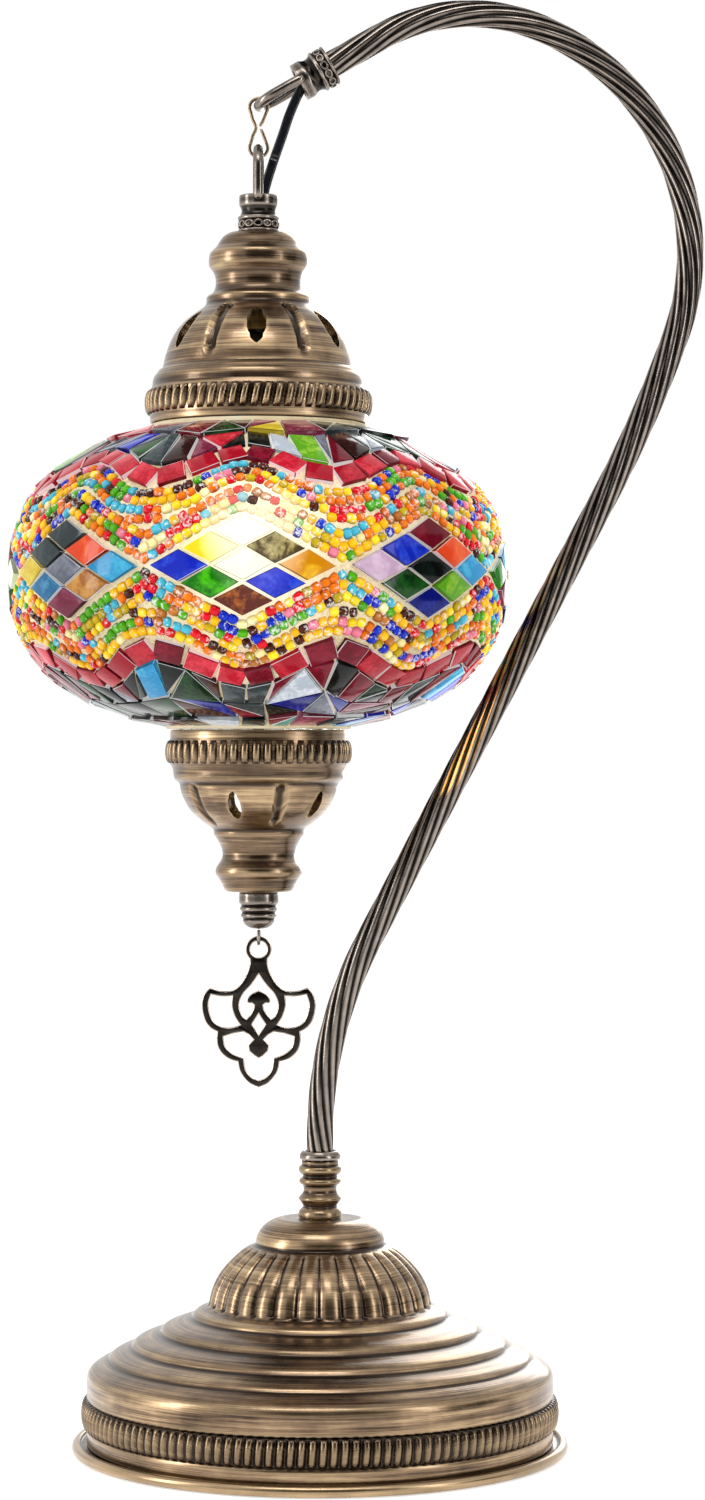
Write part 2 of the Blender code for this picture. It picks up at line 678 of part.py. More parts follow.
def lampholder():
    """Screw lampholder: an outer shell open below, and the contact block inside its top."""
    ceiling = BULB_SEAT + 2.2
    shell = [(3.0, HOLDER_TOP), (11.6, HOLDER_TOP), (14.0, HOLDER_TOP - 3.6), (14.0, HOLDER_MOUTH),
             (7.9, HOLDER_MOUTH), (7.9, ceiling), (3.0, ceiling)]
    turned("lampholder", shell, 20, BLACK_PLASTIC, SHADE_X)
    contact = [(0.0, ceiling - GAP), (4.6, ceiling - GAP), (3.4, BULB_SEAT + GAP), (0.0, BULB_SEAT + GAP)]
    return turned("centre_contact", contact, 10, POLISHED_BRASS, SHADE_X)


def bulb():
    """Round bulb with its screw base."""
    neck = BULB_SEAT - 21.2
    ball = arc((0.0, BULB_MIDDLE), BULB_RADIUS, 58.0, -90.0, 9)
    globe = [(0.0, neck), (6.6, neck), (7.4, neck - 4.8)] + ball[:-1] + [(0.0, BULB_MIDDLE - BULB_RADIUS)]
    glass = turned("bulb_glass", globe, 16, LIT_GLASS, SHADE_X)
    base = [(0.0, BULB_SEAT), (3.4, BULB_SEAT), (4.6, BULB_SEAT - 2.2), (7.0, BULB_SEAT - 3.4),
            (7.0, neck + GAP), (0.0, neck + GAP)]
    return [glass, turned("bulb_base", base, 16, STEEL, SHADE_X)]


def finial():
    """Beaded finial nut that closes the bottom cap on the tie rod."""
    outline = [(2.3, 182.9), (6.4, 182.9), (6.4, 179.2), (5.7, 178.4), (6.2, 177.4), (5.5, 176.4),
               (5.9, 175.4), (5.1, 174.4), (5.2, 173.4), (3.6, 171.6), (1.2, 170.9), (1.2, 174.2),
               (2.3, 174.2)]
    return turned("finial", outline, 14, GUNMETAL, SHADE_X)


# ---------------------------------------------------------------- globe and mosaic

def oval(shrink, low_radius, high_radius, stations):
    """Return (radius, height) points down the globe's outline, drawn in by an even amount."""
    power = 2.0 / GLOBE_SQUARENESS
    across = GLOBE_RADIUS - shrink
    rise = GLOBE_HALF_HEIGHT - shrink

    def lean(radius):
        return math.acos((radius / across) ** (1.0 / power))

    top, bottom = lean(high_radius), -lean(low_radius)
    points = []
    for index in range(stations + 1):
        t = top + (bottom - top) * index / stations
        height = math.copysign(abs(math.sin(t)) ** power, t) * rise
        points.append((across * math.cos(t) ** power, GLOBE_MIDDLE + height))
    return points


def globe_glass():
    """Blown glass globe, open at both ends, with a short neck inside each cap."""
    outer = oval(SKIN + 0.4, NECK_BOTTOM, NECK_TOP, GLASS_STATIONS)
    inner = oval(SKIN + 0.4 + GLASS_THICKNESS, NECK_BOTTOM - 2.0, NECK_TOP - 2.0, GLASS_STATIONS)
    outline = [(NECK_TOP, 340.5)] + outer + [(NECK_BOTTOM, 232.6), (NECK_BOTTOM - 2.0, 232.6)]
    outline += inner[::-1] + [(NECK_TOP - 2.0, 340.5)]
    return turned("globe_glass", outline, COLUMNS // 2, CLEAR_GLASS, SHADE_X, phase=column_angle(0))


def column_angle(column):
    """Return the angle about Z of an upright line of the pattern, in degrees."""
    return FRONT + MEDALLION_PHASE + (column - 3) * 360.0 / COLUMNS


class Mosaic:
    """Net of tiles over the globe, addressed by column and by distance along the glass."""

    def __init__(self):
        self.work = bmesh.new()
        self.points = {}
        outline = oval(TILE_RISE, 31.0, 38.0, 400)
        heights = [height for _, height in outline]
        middle = min(range(len(outline)), key=lambda i: abs(heights[i] - GLOBE_MIDDLE))
        run = [0.0]
        for (r0, z0), (r1, z1) in zip(outline, outline[1:]):
            run.append(run[-1] + math.hypot(r1 - r0, z1 - z0))
        self.table = [(run[middle] - length, r, z) for length, (r, z) in zip(run, outline)]
        self.top = self.table[0][0]
        self.bottom = self.table[-1][0]
        self.tiles = []

    def spot(self, along):
        """Return the radius and height at a distance up the glass from the equator."""
        nearest = min(self.table, key=lambda entry: abs(entry[0] - along))
        return nearest[1], nearest[2]

    def ring_point(self, key, column, radius, height):
        """Return the corner of that name, made at a radius and a height the first time."""
        name = (key, column % COLUMNS)
        if name not in self.points:
            angle = math.radians(column_angle(column))
            place = (radius * math.cos(angle) * MM, radius * math.sin(angle) * MM, height * MM)
            self.points[name] = self.work.verts.new(place)
        return self.points[name]

    def point(self, key, column, along):
        """Return the corner of that name, made on the grout the first time."""
        return self.ring_point(key, column, *self.spot(along))

    def face(self, *corners, tile=False):
        """Add a face, and remember it if it is a tile."""
        made = self.work.faces.new(corners)
        if tile:
            self.tiles.append(made)


def wave(column):
    """Return 0 between two medallions and 1 over the middle of one."""
    return 0.5 - 0.5 * math.cos(math.tau * column / 6)


def medallion_step(column):
    """Return how many half tiles a medallion rises above the equator at a column."""
    return 3 - abs(column % 6 - 3)


def add_medallions(net):
    """Nine diamond tiles, three by three, in each medallion."""
    half = MEDALLION_HALF_HEIGHT / 3
    for column in range(COLUMNS):
        for level in range(-3, 4):
            steps = medallion_step(column)
            is_middle = (column + level) % 2 == 1 and abs(level) < steps
            if not is_middle:
                continue
            corners = ((column + 1, level), (column, level + 1), (column - 1, level), (column, level - 1))
            made = [net.point(("diamond", row), at, row * half) for at, row in corners]
            net.face(*made, tile=True)


def add_half(net, side):
    """Bead field, wavy border and upper pieces on one side of the equator; side is 1 or -1."""
    half = MEDALLION_HALF_HEIGHT / 3
    lines_of_beads = 2 * BEAD_ROWS - 1
    low, swell = (30.0, 12.5) if side > 0 else (26.5, 13.5)
    end = net.top if side > 0 else net.bottom
    lines = {}
    for column in range(COLUMNS):
        rim = medallion_step(column)
        border = low + swell * wave(column)
        near, far = side * (border - 4.2), side * (border + 4.2)
        outline_at = side * rim * half
        line = [net.point(("diamond", side * rim), column, outline_at)]
        for k in range(1, lines_of_beads + 1):
            at = outline_at + (near - outline_at) * k / (lines_of_beads + 1)
            line.append(net.point(("beads", side, k), column, at))
        line.append(net.point(("near", side), column, near))
        line.append(net.point(("far", side), column, far))
        lines[column] = line
        if column % 2 == 0:
            net.point(("pieces", side), column, (far + end) / 2)
            net.point(("end", side), column, end)
    for column in range(COLUMNS):
        here, there = lines[column], lines[(column + 1) % COLUMNS]
        strips = len(here) - 1
        for level in range(strips):
            corners = (here[level], there[level], there[level + 1], here[level + 1])
            net.face(*corners, tile=level == strips - 1)
    for column in range(0, COLUMNS, 2):
        a, b, c = (lines[(column + k) % COLUMNS][-1] for k in range(3))
        p, q = (net.points[("pieces", side), (column + k) % COLUMNS] for k in (0, 2))
        s, t = (net.points[("end", side), (column + k) % COLUMNS] for k in (0, 2))
        for corners in ((a, b, p), (p, b, q), (b, c, q), (p, q, t, s)):
            net.face(*corners, tile=True)


def add_lining(net):
    """Lips at both openings and the smooth inner side of the grout."""
    inner = oval(SKIN, NECK_BOTTOM + 0.4, NECK_TOP + 0.4, GLASS_STATIONS)
    rows = [(36.2, 336.2), (NECK_TOP + 0.4, 336.2)] + inner + [(NECK_BOTTOM + 0.4, 236.5), (30.0, 236.5)]
    for column in range(0, COLUMNS, 2):
        pair = (column, column + 2)
        ladder = [[net.points[("end", 1), at % COLUMNS] for at in pair]]
        ladder += [[net.ring_point(("lining", i), at, *row) for at in pair] for i, row in enumerate(rows)]
        ladder.append([net.points[("end", -1), at % COLUMNS] for at in pair])
        for (a, b), (c, d) in zip(ladder, ladder[1:]):
            net.face(a, b, d, c)


def mosaic_shell():
    """Mosaic layer on the globe: raised glass tiles and a field of beads in one bed of grout."""
    net = Mosaic()
    add_medallions(net)
    add_half(net, 1)
    add_half(net, -1)
    add_lining(net)
    bmesh.ops.recalc_face_normals(net.work, faces=net.work.faces)
    for (key, _), corner in net.points.items():
        if key[0] == "beads":
            corner.co += corner.normal * (TILE_RISE if key[2] % 2 else BEAD_VALLEY) * MM
    bmesh.ops.inset_individual(net.work, faces=net.tiles, thickness=TILE_INSET * MM,
                               depth=TILE_RISE * MM, use_even_offset=True)
    mesh = bpy.data.meshes.new("mosaic_shell")
    net.work.to_mesh(mesh)
    net.work.free()
    return add_part("mosaic_shell", mesh, MOSAIC, SHADE_X)


# ---------------------------------------------------------------- pendant

def mirrored(half):
    """Close a right-hand outline, which starts and ends on the middle line, with its mirror."""
    return list(half) + [(-x, z) for x, z in reversed(half) if abs(x) > 0.01]


def bowed(*points):
    """Return a smooth run through a few points of an outline, without its last point."""
    run = smooth_route([(x, z, 0.0) for x, z in points], 2 * (len(points) - 1))
    return [(place.x, place.y) for place in run[:-1]]


def pendant():
    """Openwork palmette: two side lobes, two lower lobes and a point round an onion arch."""
    outer = arc((0.0, 0.0), 4.3, 90.0, -52.0, 6)
    outer += bowed((2.8, -5.0), (5.2, -10.6), (11.0, -13.1), (16.6, -12.2))
    outer += bowed((16.6, -12.2), (18.9, -18.6), (13.9, -26.8))
    outer += bowed((13.9, -26.8), (12.6, -33.4), (7.1, -36.3))
    outer += bowed((7.1, -36.3), (4.4, -41.6), (0.0, -45.3)) + [(0.0, -45.3)]
    ring_hole = arc((0.0, 0.0), PENDANT_RING_HOLE, 0.0, 330.0, 11)
    side_hole = bowed((8.9, -15.2), (15.4, -14.9)) + bowed((15.4, -14.9), (16.8, -19.0), (12.4, -25.6))
    side_hole += bowed((12.4, -25.6), (8.4, -25.8), (6.6, -24.3))
    side_hole += bowed((6.6, -24.3), (8.6, -20.4), (8.9, -15.2))
    arch = bowed((0.0, -7.9), (4.0, -13.4), (6.5, -19.0), (4.6, -23.0)) + [(4.6, -23.0), (2.9, -21.2)]
    arch += [(2.0, -18.8), (2.2, -17.6), (3.9, -16.5), (2.6, -14.2), (0.0, -13.1)]
    diamond = [(0.0, -21.2), (2.8, -24.6), (0.0, -27.6)]
    foot = bowed((0.0, -42.8), (4.0, -38.6), (5.4, -34.7))
    foot += bowed((5.4, -34.7), (10.4, -33.0), (11.7, -28.2))
    foot += [(11.7, -28.2), (6.8, -28.4), (5.1, -27.3), (3.3, -28.6), (1.9, -30.2), (3.4, -31.6),
             (1.8, -34.0), (0.0, -35.3)]
    holes = [ring_hole, side_hole, [(-x, z) for x, z in side_hole], mirrored(arch), mirrored(diamond),
             mirrored(foot)]
    part = plate("pendant", [mirrored(outer)] + holes, PENDANT_THICKNESS, GUNMETAL)
    part.location = Vector((SHADE_X, 0.0, PENDANT_RING)) * MM
    return part


def pendant_eye():
    """Wire eye under the finial, through the pendant's ring."""
    middle = PENDANT_RING + EYE_HEIGHT + EYE_RADIUS
    top = middle + 2.15
    bow = arc((0.0, middle), EYE_RADIUS, 180.0, 360.0, 8)
    route = [(0.0, -EYE_RADIUS, top)] + [(0.0, y, z) for y, z in bow] + [(0.0, EYE_RADIUS, top)]
    return wire("pendant_eye", route, EYE_WIRE, GUNMETAL, SHADE_X)


# ---------------------------------------------------------------- assembly

def build_lamp():
    """Make every part, and hang the moving ones on the axes of their joints."""
    base_shell()
    base_plate()
    felt_pad()
    base_fasteners()
    cord_bush()
    stem_collar()
    foot_ferrule()
    twisted_arm()
    tip_ferrule()
    lamp_lead()
    link = hanging_link()
    before = set(LAMP.objects)
    shade_ferrule()
    top_cap()
    bottom_cap()
    shade_fittings()
    lampholder()
    globe_glass()
    mosaic_shell()
    finial()
    pendant_eye()
    shade_parts = [part for part in LAMP.objects if part not in before]
    bulb_parts = bulb()
    charm = pendant()
    hang("link_axis", CROWN_X, CROWN_Z, [link])
    hang("shade_axis", SHADE_X, SHADE_CROWN_Z, shade_parts)
    hang("bulb_axis", SHADE_X, BULB_SEAT, bulb_parts)
    hang("pendant_axis", SHADE_X, PENDANT_RING + EYE_HEIGHT, [charm])


build_lamp()
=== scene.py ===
"""Looks of the mosaic glass table lamp: patinated brass, a twisted dark arm and a lit mosaic globe.

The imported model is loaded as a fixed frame. Each operator makes one piece, or a group of like
pieces, and the panel in the 3D view's sidebar lists them. Lengths below are millimetres unless a
name says otherwise, MM turns them into Blender's metres, and the front of the lamp faces -Y.
"""

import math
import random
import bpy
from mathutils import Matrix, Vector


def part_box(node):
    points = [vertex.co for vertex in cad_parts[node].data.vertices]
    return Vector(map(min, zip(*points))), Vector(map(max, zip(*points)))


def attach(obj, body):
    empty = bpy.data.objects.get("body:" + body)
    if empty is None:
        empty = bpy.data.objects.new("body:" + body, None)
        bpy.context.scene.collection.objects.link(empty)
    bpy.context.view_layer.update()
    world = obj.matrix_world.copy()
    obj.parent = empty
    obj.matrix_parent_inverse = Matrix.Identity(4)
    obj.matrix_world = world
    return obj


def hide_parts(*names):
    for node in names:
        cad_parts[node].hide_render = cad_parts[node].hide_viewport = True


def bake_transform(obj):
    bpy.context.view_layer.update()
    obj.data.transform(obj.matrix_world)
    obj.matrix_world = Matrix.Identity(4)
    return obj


bl_info = {
    "name": "Mosaic glass table lamp",
    "version": (1, 0, 0),
    "blender": (4, 5, 0),
    "location": "3D View > Sidebar > Lamp",
    "description": "Makes the visible pieces of a hanging mosaic glass table lamp on its packed frame",
    "category": "Object",
}

import bmesh
import bpy
from mathutils import Matrix, Vector, noise
from mathutils.kdtree import KDTree

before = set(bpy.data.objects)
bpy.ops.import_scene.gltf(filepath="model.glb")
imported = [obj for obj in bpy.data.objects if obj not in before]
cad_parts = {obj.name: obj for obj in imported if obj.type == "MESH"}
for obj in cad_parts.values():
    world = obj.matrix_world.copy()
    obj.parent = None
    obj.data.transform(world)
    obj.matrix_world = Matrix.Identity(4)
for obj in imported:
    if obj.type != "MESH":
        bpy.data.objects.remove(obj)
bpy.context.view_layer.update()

MM = 0.001
FRONT = -90.0
CAD_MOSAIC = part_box("mosaic_shell")
SHADE_X = (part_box("tie_rod")[0].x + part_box("tie_rod")[1].x) / 2 / MM
GLOBE_RADIUS = (CAD_MOSAIC[1].y - CAD_MOSAIC[0].y) / 2 / MM
PLATE_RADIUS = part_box("base_plate")[1].x / MM
CAP_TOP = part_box("top_cap")[1].z / MM
CAP_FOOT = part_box("bottom_cap")[0].z / MM

# Twisted arm: (length, turn in degrees) of each straight or bent run, from the foot to the tip
ARM_START = 88.5
ARM_RUNS = ((14.0, 0.0), (68.0, 28.0), (164.0, 0.0), (58.0, -8.2), (122.0, -87.4), (54.5, -52.0), (22.3, 0.0))
ARM_RADIUS = 4.43
ARM_VALLEY_RADIUS = 3.8
STRAND_COUNT = 10
STRAND_LEAD = 146.0

# Ferrules and link
FERRULE_LENGTH = 12.2
FERRULE_MOUTH = 6.4
CHAIN_RINGS = 13
SOCKET_DEPTH = 4.2
BAIL_REACH = 15.2
BAIL_WIRE = 1.7
BAIL_HALF_WIDTH = 6.6
LINK_WIRE = 0.55
LINK_DROP = 14.2
LOOP_RADIUS = 3.0
GAP = 0.3

# Caps: depth of the tool that cuts their slots
CUTTER_DEPTH = 10.0

# Base and rope bands: counts, and the share of its pitch that a rope's ridge takes
FLUTES = 30
ROPE_RIDGES = 144
CROWN_RIDGES = 62
FOOT_RIDGES = 50
RIDGE_SHARE = 0.74

# Relief: rounds of averaging that find broad hollows
WIDE_ROUNDS = 5

# Globe
GLOBE_MIDDLE = 286.5
GLOBE_HALF_HEIGHT = 50.5
GLOBE_SQUARENESS = 2.5
TILE_FACE_DEPTH = 0.35
MEDALLIONS = 8
MEDALLION_PHASE = -2.0

# Bulb, and the bright spots of its light that are painted on the globe
BULB_MIDDLE = 300.0
HOT_HEIGHT = 298.5
HOT_SHIFT = 1.1

# Pendant
PENDANT_RING = 164.2


# ---------------------------------------------------------------- sizes and colours a user may change

def colour(name, text, default):
    """Make a colour property."""
    return bpy.props.FloatVectorProperty(name=name, description=text, subtype="COLOR", size=3,
                                         min=0.0, max=1.0, default=default)


def size(name, text, default):
    """Make a length property, in metres."""
    return bpy.props.FloatProperty(name=name, description=text, unit="LENGTH", subtype="DISTANCE",
                                   min=0.0, default=default)


class LampSizes(bpy.types.PropertyGroup):
    """Sizes of the mosaic."""

    tile_gap: size("Tile gap", "Grout seen between two tiles", 0.0006)
    tile_thickness: size("Tile thickness", "Thickness of the cut glass", 0.0022)
    bead_radius: size("Bead radius", "Half the width of a seed bead", 0.00195)
    bead_length: size("Bead length", "Length of a seed bead along its hole", 0.0035)
    # Glow is the strength of the bulb's light painted into the glass and grout as emission.
    glow: bpy.props.FloatProperty(name="Glow", description="How brightly the bulb shines through the glass",
                                  min=0.0, default=1.0)


class LampColours(bpy.types.PropertyGroup):
    """Colours of the metals, the grout and the light."""

    brass: colour("Brass", "Patinated brass where it is brushed", (0.232, 0.148, 0.088))
    brass_worn: colour("Worn brass", "Brass on edges and rubbed streaks", (0.64, 0.46, 0.256))
    brass_patina: colour("Patina", "Dark brown left in hollows", (0.022, 0.013, 0.008))
    gunmetal: colour("Gunmetal", "Dark cast and twisted metal", (0.050, 0.042, 0.036))
    # Worn gunmetal on the raised crests is partly wear and partly painted highlight.
    gunmetal_worn: colour("Worn gunmetal", "Rubbed crests of the dark metal", (0.32, 0.272, 0.235))
    grout: colour("Grout", "Bed between tiles and beads", (0.87, 0.72, 0.45))
    lamp_light: colour("Lamp light", "Light of the bulb through clear glass", (1.0, 0.93, 0.70))
    floor: colour("Floor", "Studio floor", (0.90, 0.90, 0.90))


# ---------------------------------------------------------------- materials

class Number:
    """A value of a finish: sums that are written on it become Math nodes."""

    def __init__(self, finish, socket):
        self.finish = finish
        self.socket = socket

    def math(self, operation, *values):
        """Add one Math node."""
        made = self.finish.node("ShaderNodeMath", {"operation": operation}, dict(enumerate(values)))
        return Number(self.finish, made.outputs[0])

    def __add__(self, other):
        return self.math("ADD", self, other)

    def __radd__(self, other):
        return self.math("ADD", other, self)

    def __sub__(self, other):
        return self.math("SUBTRACT", self, other)

    def __rsub__(self, other):
        return self.math("SUBTRACT", other, self)

    def __mul__(self, other):
        return self.math("MULTIPLY", self, other)

    def __truediv__(self, other):
        return self.math("DIVIDE", self, other)

    def __pow__(self, other):
        return self.math("POWER", self, other)

    def clip(self):
        """Hold it between 0 and 1."""
        return self.math("MINIMUM", self.math("MAXIMUM", self, 0.0), 1.0)

    def smaller(self, other):
        """Return the smaller of two."""
        return self.math("MINIMUM", self, other)

    def size(self):
        """Return it without its sign."""
        return self.math("ABSOLUTE", self)

    def root(self):
        """Return its square root."""
        return self.math("SQRT", self)

    def fade(self, low, high):
        """Return 0 below low and 1 above high, straight between them."""
        return ((self - low) / (high - low)).clip()


class Finish:
    """A material being made: its node tree, its shader and the nodes that feed it."""

    def __init__(self, name, **constants):
        self.material = bpy.data.materials.new(name)
        self.material.use_nodes = True
        self.tree = self.material.node_tree
        self.shader = self.tree.nodes["Principled BSDF"]
        for socket, value in constants.items():
            self.shader.inputs[socket.replace("_", " ")].default_value = value

    def node(self, kind, settings, values):
        """Add a node: its settings first, then a value or a link for each socket."""
        made = self.tree.nodes.new(kind)
        for setting, value in settings.items():
            setattr(made, setting, value)
        for socket, value in values.items():
            self.feed(made.inputs[socket], value)
        return made

    def feed(self, socket, value):
        """Link or set one socket."""
        if isinstance(value, Number):
            self.tree.links.new(value.socket, socket)
        elif isinstance(value, bpy.types.NodeSocket):
            self.tree.links.new(value, socket)
        elif hasattr(value, "__len__") and len(value) == 3 and socket.type == "RGBA":
            socket.default_value = (*value, 1.0)
        else:
            socket.default_value = value

    def number(self, socket):
        """Wrap a socket, so that sums can be written on it."""
        return Number(self, socket)

    def place(self, offset=(0.0, 0.0, 0.0)):
        """Return the point in the lamp's own millimetres, counted from an offset."""
        spot = self.node("ShaderNodeTexCoord", {}, {}).outputs["Object"]
        moved = self.node("ShaderNodeMapping", {}, {
            "Vector": spot, "Scale": (1 / MM,) * 3, "Location": tuple(-part for part in offset)})
        return moved.outputs[0]

    def parts(self, vector):
        """Return the three numbers of a vector."""
        made = self.node("ShaderNodeSeparateXYZ", {}, {0: vector})
        return [self.number(socket) for socket in made.outputs]

    def vector(self, *values):
        """Join three numbers."""
        return self.node("ShaderNodeCombineXYZ", {}, dict(enumerate(values))).outputs[0]

    def grain(self, vector, scale, detail=2.0, roughness=0.5, distortion=0.0):
        """Return noise of that scale, from 0 to 1."""
        made = self.node("ShaderNodeTexNoise", {}, {
            "Vector": vector, "Scale": scale, "Detail": detail, "Roughness": roughness,
            "Distortion": distortion})
        return self.number(made.outputs[0])

    def attribute(self, name):
        """Return the node of a mesh attribute."""
        return self.node("ShaderNodeAttribute", {"attribute_name": name}, {})

    def mark(self, name):
        """Return a number attribute of the mesh."""
        return self.number(self.attribute(name).outputs["Fac"])

    def tint(self, name):
        """Return a colour attribute of the mesh."""
        return self.attribute(name).outputs["Color"]

    def blend(self, first, second, share):
        """Mix two colours."""
        made = self.node("ShaderNodeMix", {"data_type": "RGBA"}, {0: share, 6: first, 7: second})
        return made.outputs[2]

    def ramp(self, value, stops):
        """Turn a number into a colour by its stops."""
        made = self.node("ShaderNodeValToRGB", {}, {0: value})
        band = made.color_ramp
        while len(band.elements) < len(stops):
            band.elements.new(0.5)
        for element, (at, shade) in zip(band.elements, stops):
            element.position = at
            element.color = (*shade, 1.0)
        return made.outputs[0]

    def bump(self, height, distance):
        """Return the normal of a height that is worth that many millimetres."""
        made = self.node("ShaderNodeBump", {}, {
            "Height": height, "Distance": distance * MM, "Strength": 1.0})
        return made.outputs[0]

    def surface(self, **values):
        """Feed the shader's sockets and return the material."""
        for socket, value in values.items():
            self.feed(self.shader.inputs[socket.replace("_", " ")], value)
        return self.material


def brushed_brass(name, axis_x, brightness=1.0):
    """Patinated brass, brushed round an upright axis, dark in its hollows and bright on its edges. Brightness
    scales all its colours; a copy below 1 is a darker copy of the one brass, painted shade.
    """
    colours = bpy.context.scene.lamp_colours
    finish = Finish(name, Metallic=1.0, Coat_Weight=0.3, Coat_Roughness=0.06)
    spot = finish.place((axis_x, 0.0, 0.0))
    x, y, z = finish.parts(spot)
    radius = (x * x + y * y).root()
    level = z - radius * 0.8
    fine = finish.grain(finish.vector(x * 0.03, y * 0.03, level * 2.4), 1.0, 5.0, 0.75)
    broad = finish.grain(finish.vector(x * 0.018, y * 0.018, level * 0.42), 1.0, 2.0)
    cloud = finish.grain(spot, 0.06, 3.0, 0.6)
    rubbed = ((fine - 0.5) * 2.1 + (broad - 0.5) * 1.3 + (cloud - 0.5) * 1.0 + 0.40).clip()
    worn = [part * brightness for part in colours.brass_worn]
    brass = [part * brightness for part in colours.brass]
    dull = [part * 0.22 for part in brass]
    base = finish.ramp(rubbed, [(0.0, dull), (0.45, brass), (1.0, worn)])
    raised = finish.mark("relief")
    hollow = (0.48 - raised + (cloud - 0.5) * 0.14).fade(0.0, 0.26)
    edge = (raised + (fine - 0.5) * 0.4).fade(0.60, 0.95)
    base = finish.blend(base, worn, edge * 0.4)
    base = finish.blend(base, tuple(colours.brass_patina), hollow * 0.95)
    return finish.surface(Base_Color=base, Roughness=0.16 + fine * 0.16 + cloud * 0.10,
                          Normal=finish.bump(fine, 0.014))


def dark_metal(name, spread=1.0, rim=1.0):
    """Dark cast metal, lighter on its raised parts and darkest in its hollows: partly rubbed wear and patina,
    partly painted highlight and painted shade. Spread is how far the light colour reaches, rim how bright it
    is.
    """
    colours = bpy.context.scene.lamp_colours
    finish = Finish(name, Metallic=1.0)
    spot = finish.place()
    raised = finish.mark("relief")
    cloud = finish.grain(spot, 0.16, 4.0, 0.6)
    pits = finish.grain(spot, 1.6, 3.0, 0.6)
    rub = (raised * spread + (cloud - 0.5) * 0.5 + (pits - 0.5) * 0.10).fade(0.34, 1.0)
    deep = [part * 0.2 for part in colours.gunmetal]
    bright = [part * rim for part in colours.gunmetal_worn]
    base = finish.ramp(rub, [(0.0, deep), (0.4, colours.gunmetal), (1.0, bright)])
    return finish.surface(Base_Color=base, Roughness=0.19 + pits * 0.08, Normal=finish.bump(pits, 0.010))


def plain_metal(name, shade, roughness):
    """Machined metal of a hidden fitting, with faint turning marks."""
    finish = Finish(name, Metallic=1.0)
    x, y, z = finish.parts(finish.place((SHADE_X, 0.0, 0.0)))
    lines = finish.grain(finish.vector(x * 0.05, y * 0.05, z * 2.6), 1.0, 3.0, 0.6)
    base = finish.ramp(lines, [(0.25, tuple(part * 0.6 for part in shade)), (0.75, shade)])
    return finish.surface(Base_Color=base, Roughness=roughness + lines * 0.2, Normal=finish.bump(lines, 0.02))


def plastic(name, shade, roughness, grain_scale=2.0):
    """Moulded plastic with a fine satin grain."""
    finish = Finish(name)
    skin = finish.grain(finish.place(), grain_scale, 3.0, 0.6)
    base = finish.ramp(skin, [(0.3, shade), (0.8, tuple(min(1.0, part * 1.7 + 0.004) for part in shade))])
    return finish.surface(Base_Color=base, Roughness=roughness + skin * 0.15, Normal=finish.bump(skin, 0.015))


def felt(name):
    """Pressed black felt."""
    finish = Finish(name, Roughness=0.95)
    fibres = finish.grain(finish.place(), 1.4, 6.0, 0.8, 1.2)
    base = finish.ramp(fibres, [(0.3, (0.008, 0.008, 0.009)), (0.75, (0.045, 0.045, 0.05))])
    return finish.surface(Base_Color=base, Normal=finish.bump(fibres, 0.3))


def clear_glass(name):
    """Clear blown glass with faint seeds in it."""
    finish = Finish(name, IOR=1.5)
    finish.shader.inputs["Transmission Weight"].default_value = 1.0
    ripple = finish.grain(finish.place(), 0.08, 2.0)
    base = finish.ramp(ripple, [(0.2, (0.90, 0.94, 0.92)), (0.8, (0.98, 1.0, 0.99))])
    return finish.surface(Base_Color=base, Roughness=0.03 + ripple * 0.04, Normal=finish.bump(ripple, 0.2))


def bulb_glow(name):
    """Frosted warm bulb glass that is lit."""
    finish = Finish(name, Roughness=0.4)
    finish.shader.inputs["Emission Strength"].default_value = 3.0
    spot = finish.place((SHADE_X, 0.0, 0.0))
    height = finish.parts(spot)[2]
    frost = finish.grain(spot, 0.9, 3.0)
    shine = finish.ramp((height - BULB_MIDDLE).size().fade(2.0, 30.0) + (frost - 0.5) * 0.1,
                        [(0.0, (1.0, 0.93, 0.75)), (1.0, (0.95, 0.66, 0.34))])
    return finish.surface(Base_Color=shine, Emission_Color=shine, Normal=finish.bump(frost, 0.02))


def glow_spot_distance(finish):
    """Return how far, squared, a point of the globe is from the nearest of its four painted bright spots.

    The painted light fades faster above a bright spot than below it.
    """
    x, y, z = finish.parts(finish.place((SHADE_X + HOT_SHIFT, 0.0, HOT_HEIGHT)))
    across = x.size().smaller(y.size())
    return across * across + z * z * (0.6 + (z * 0.2 + 0.5).clip() * 1.2)


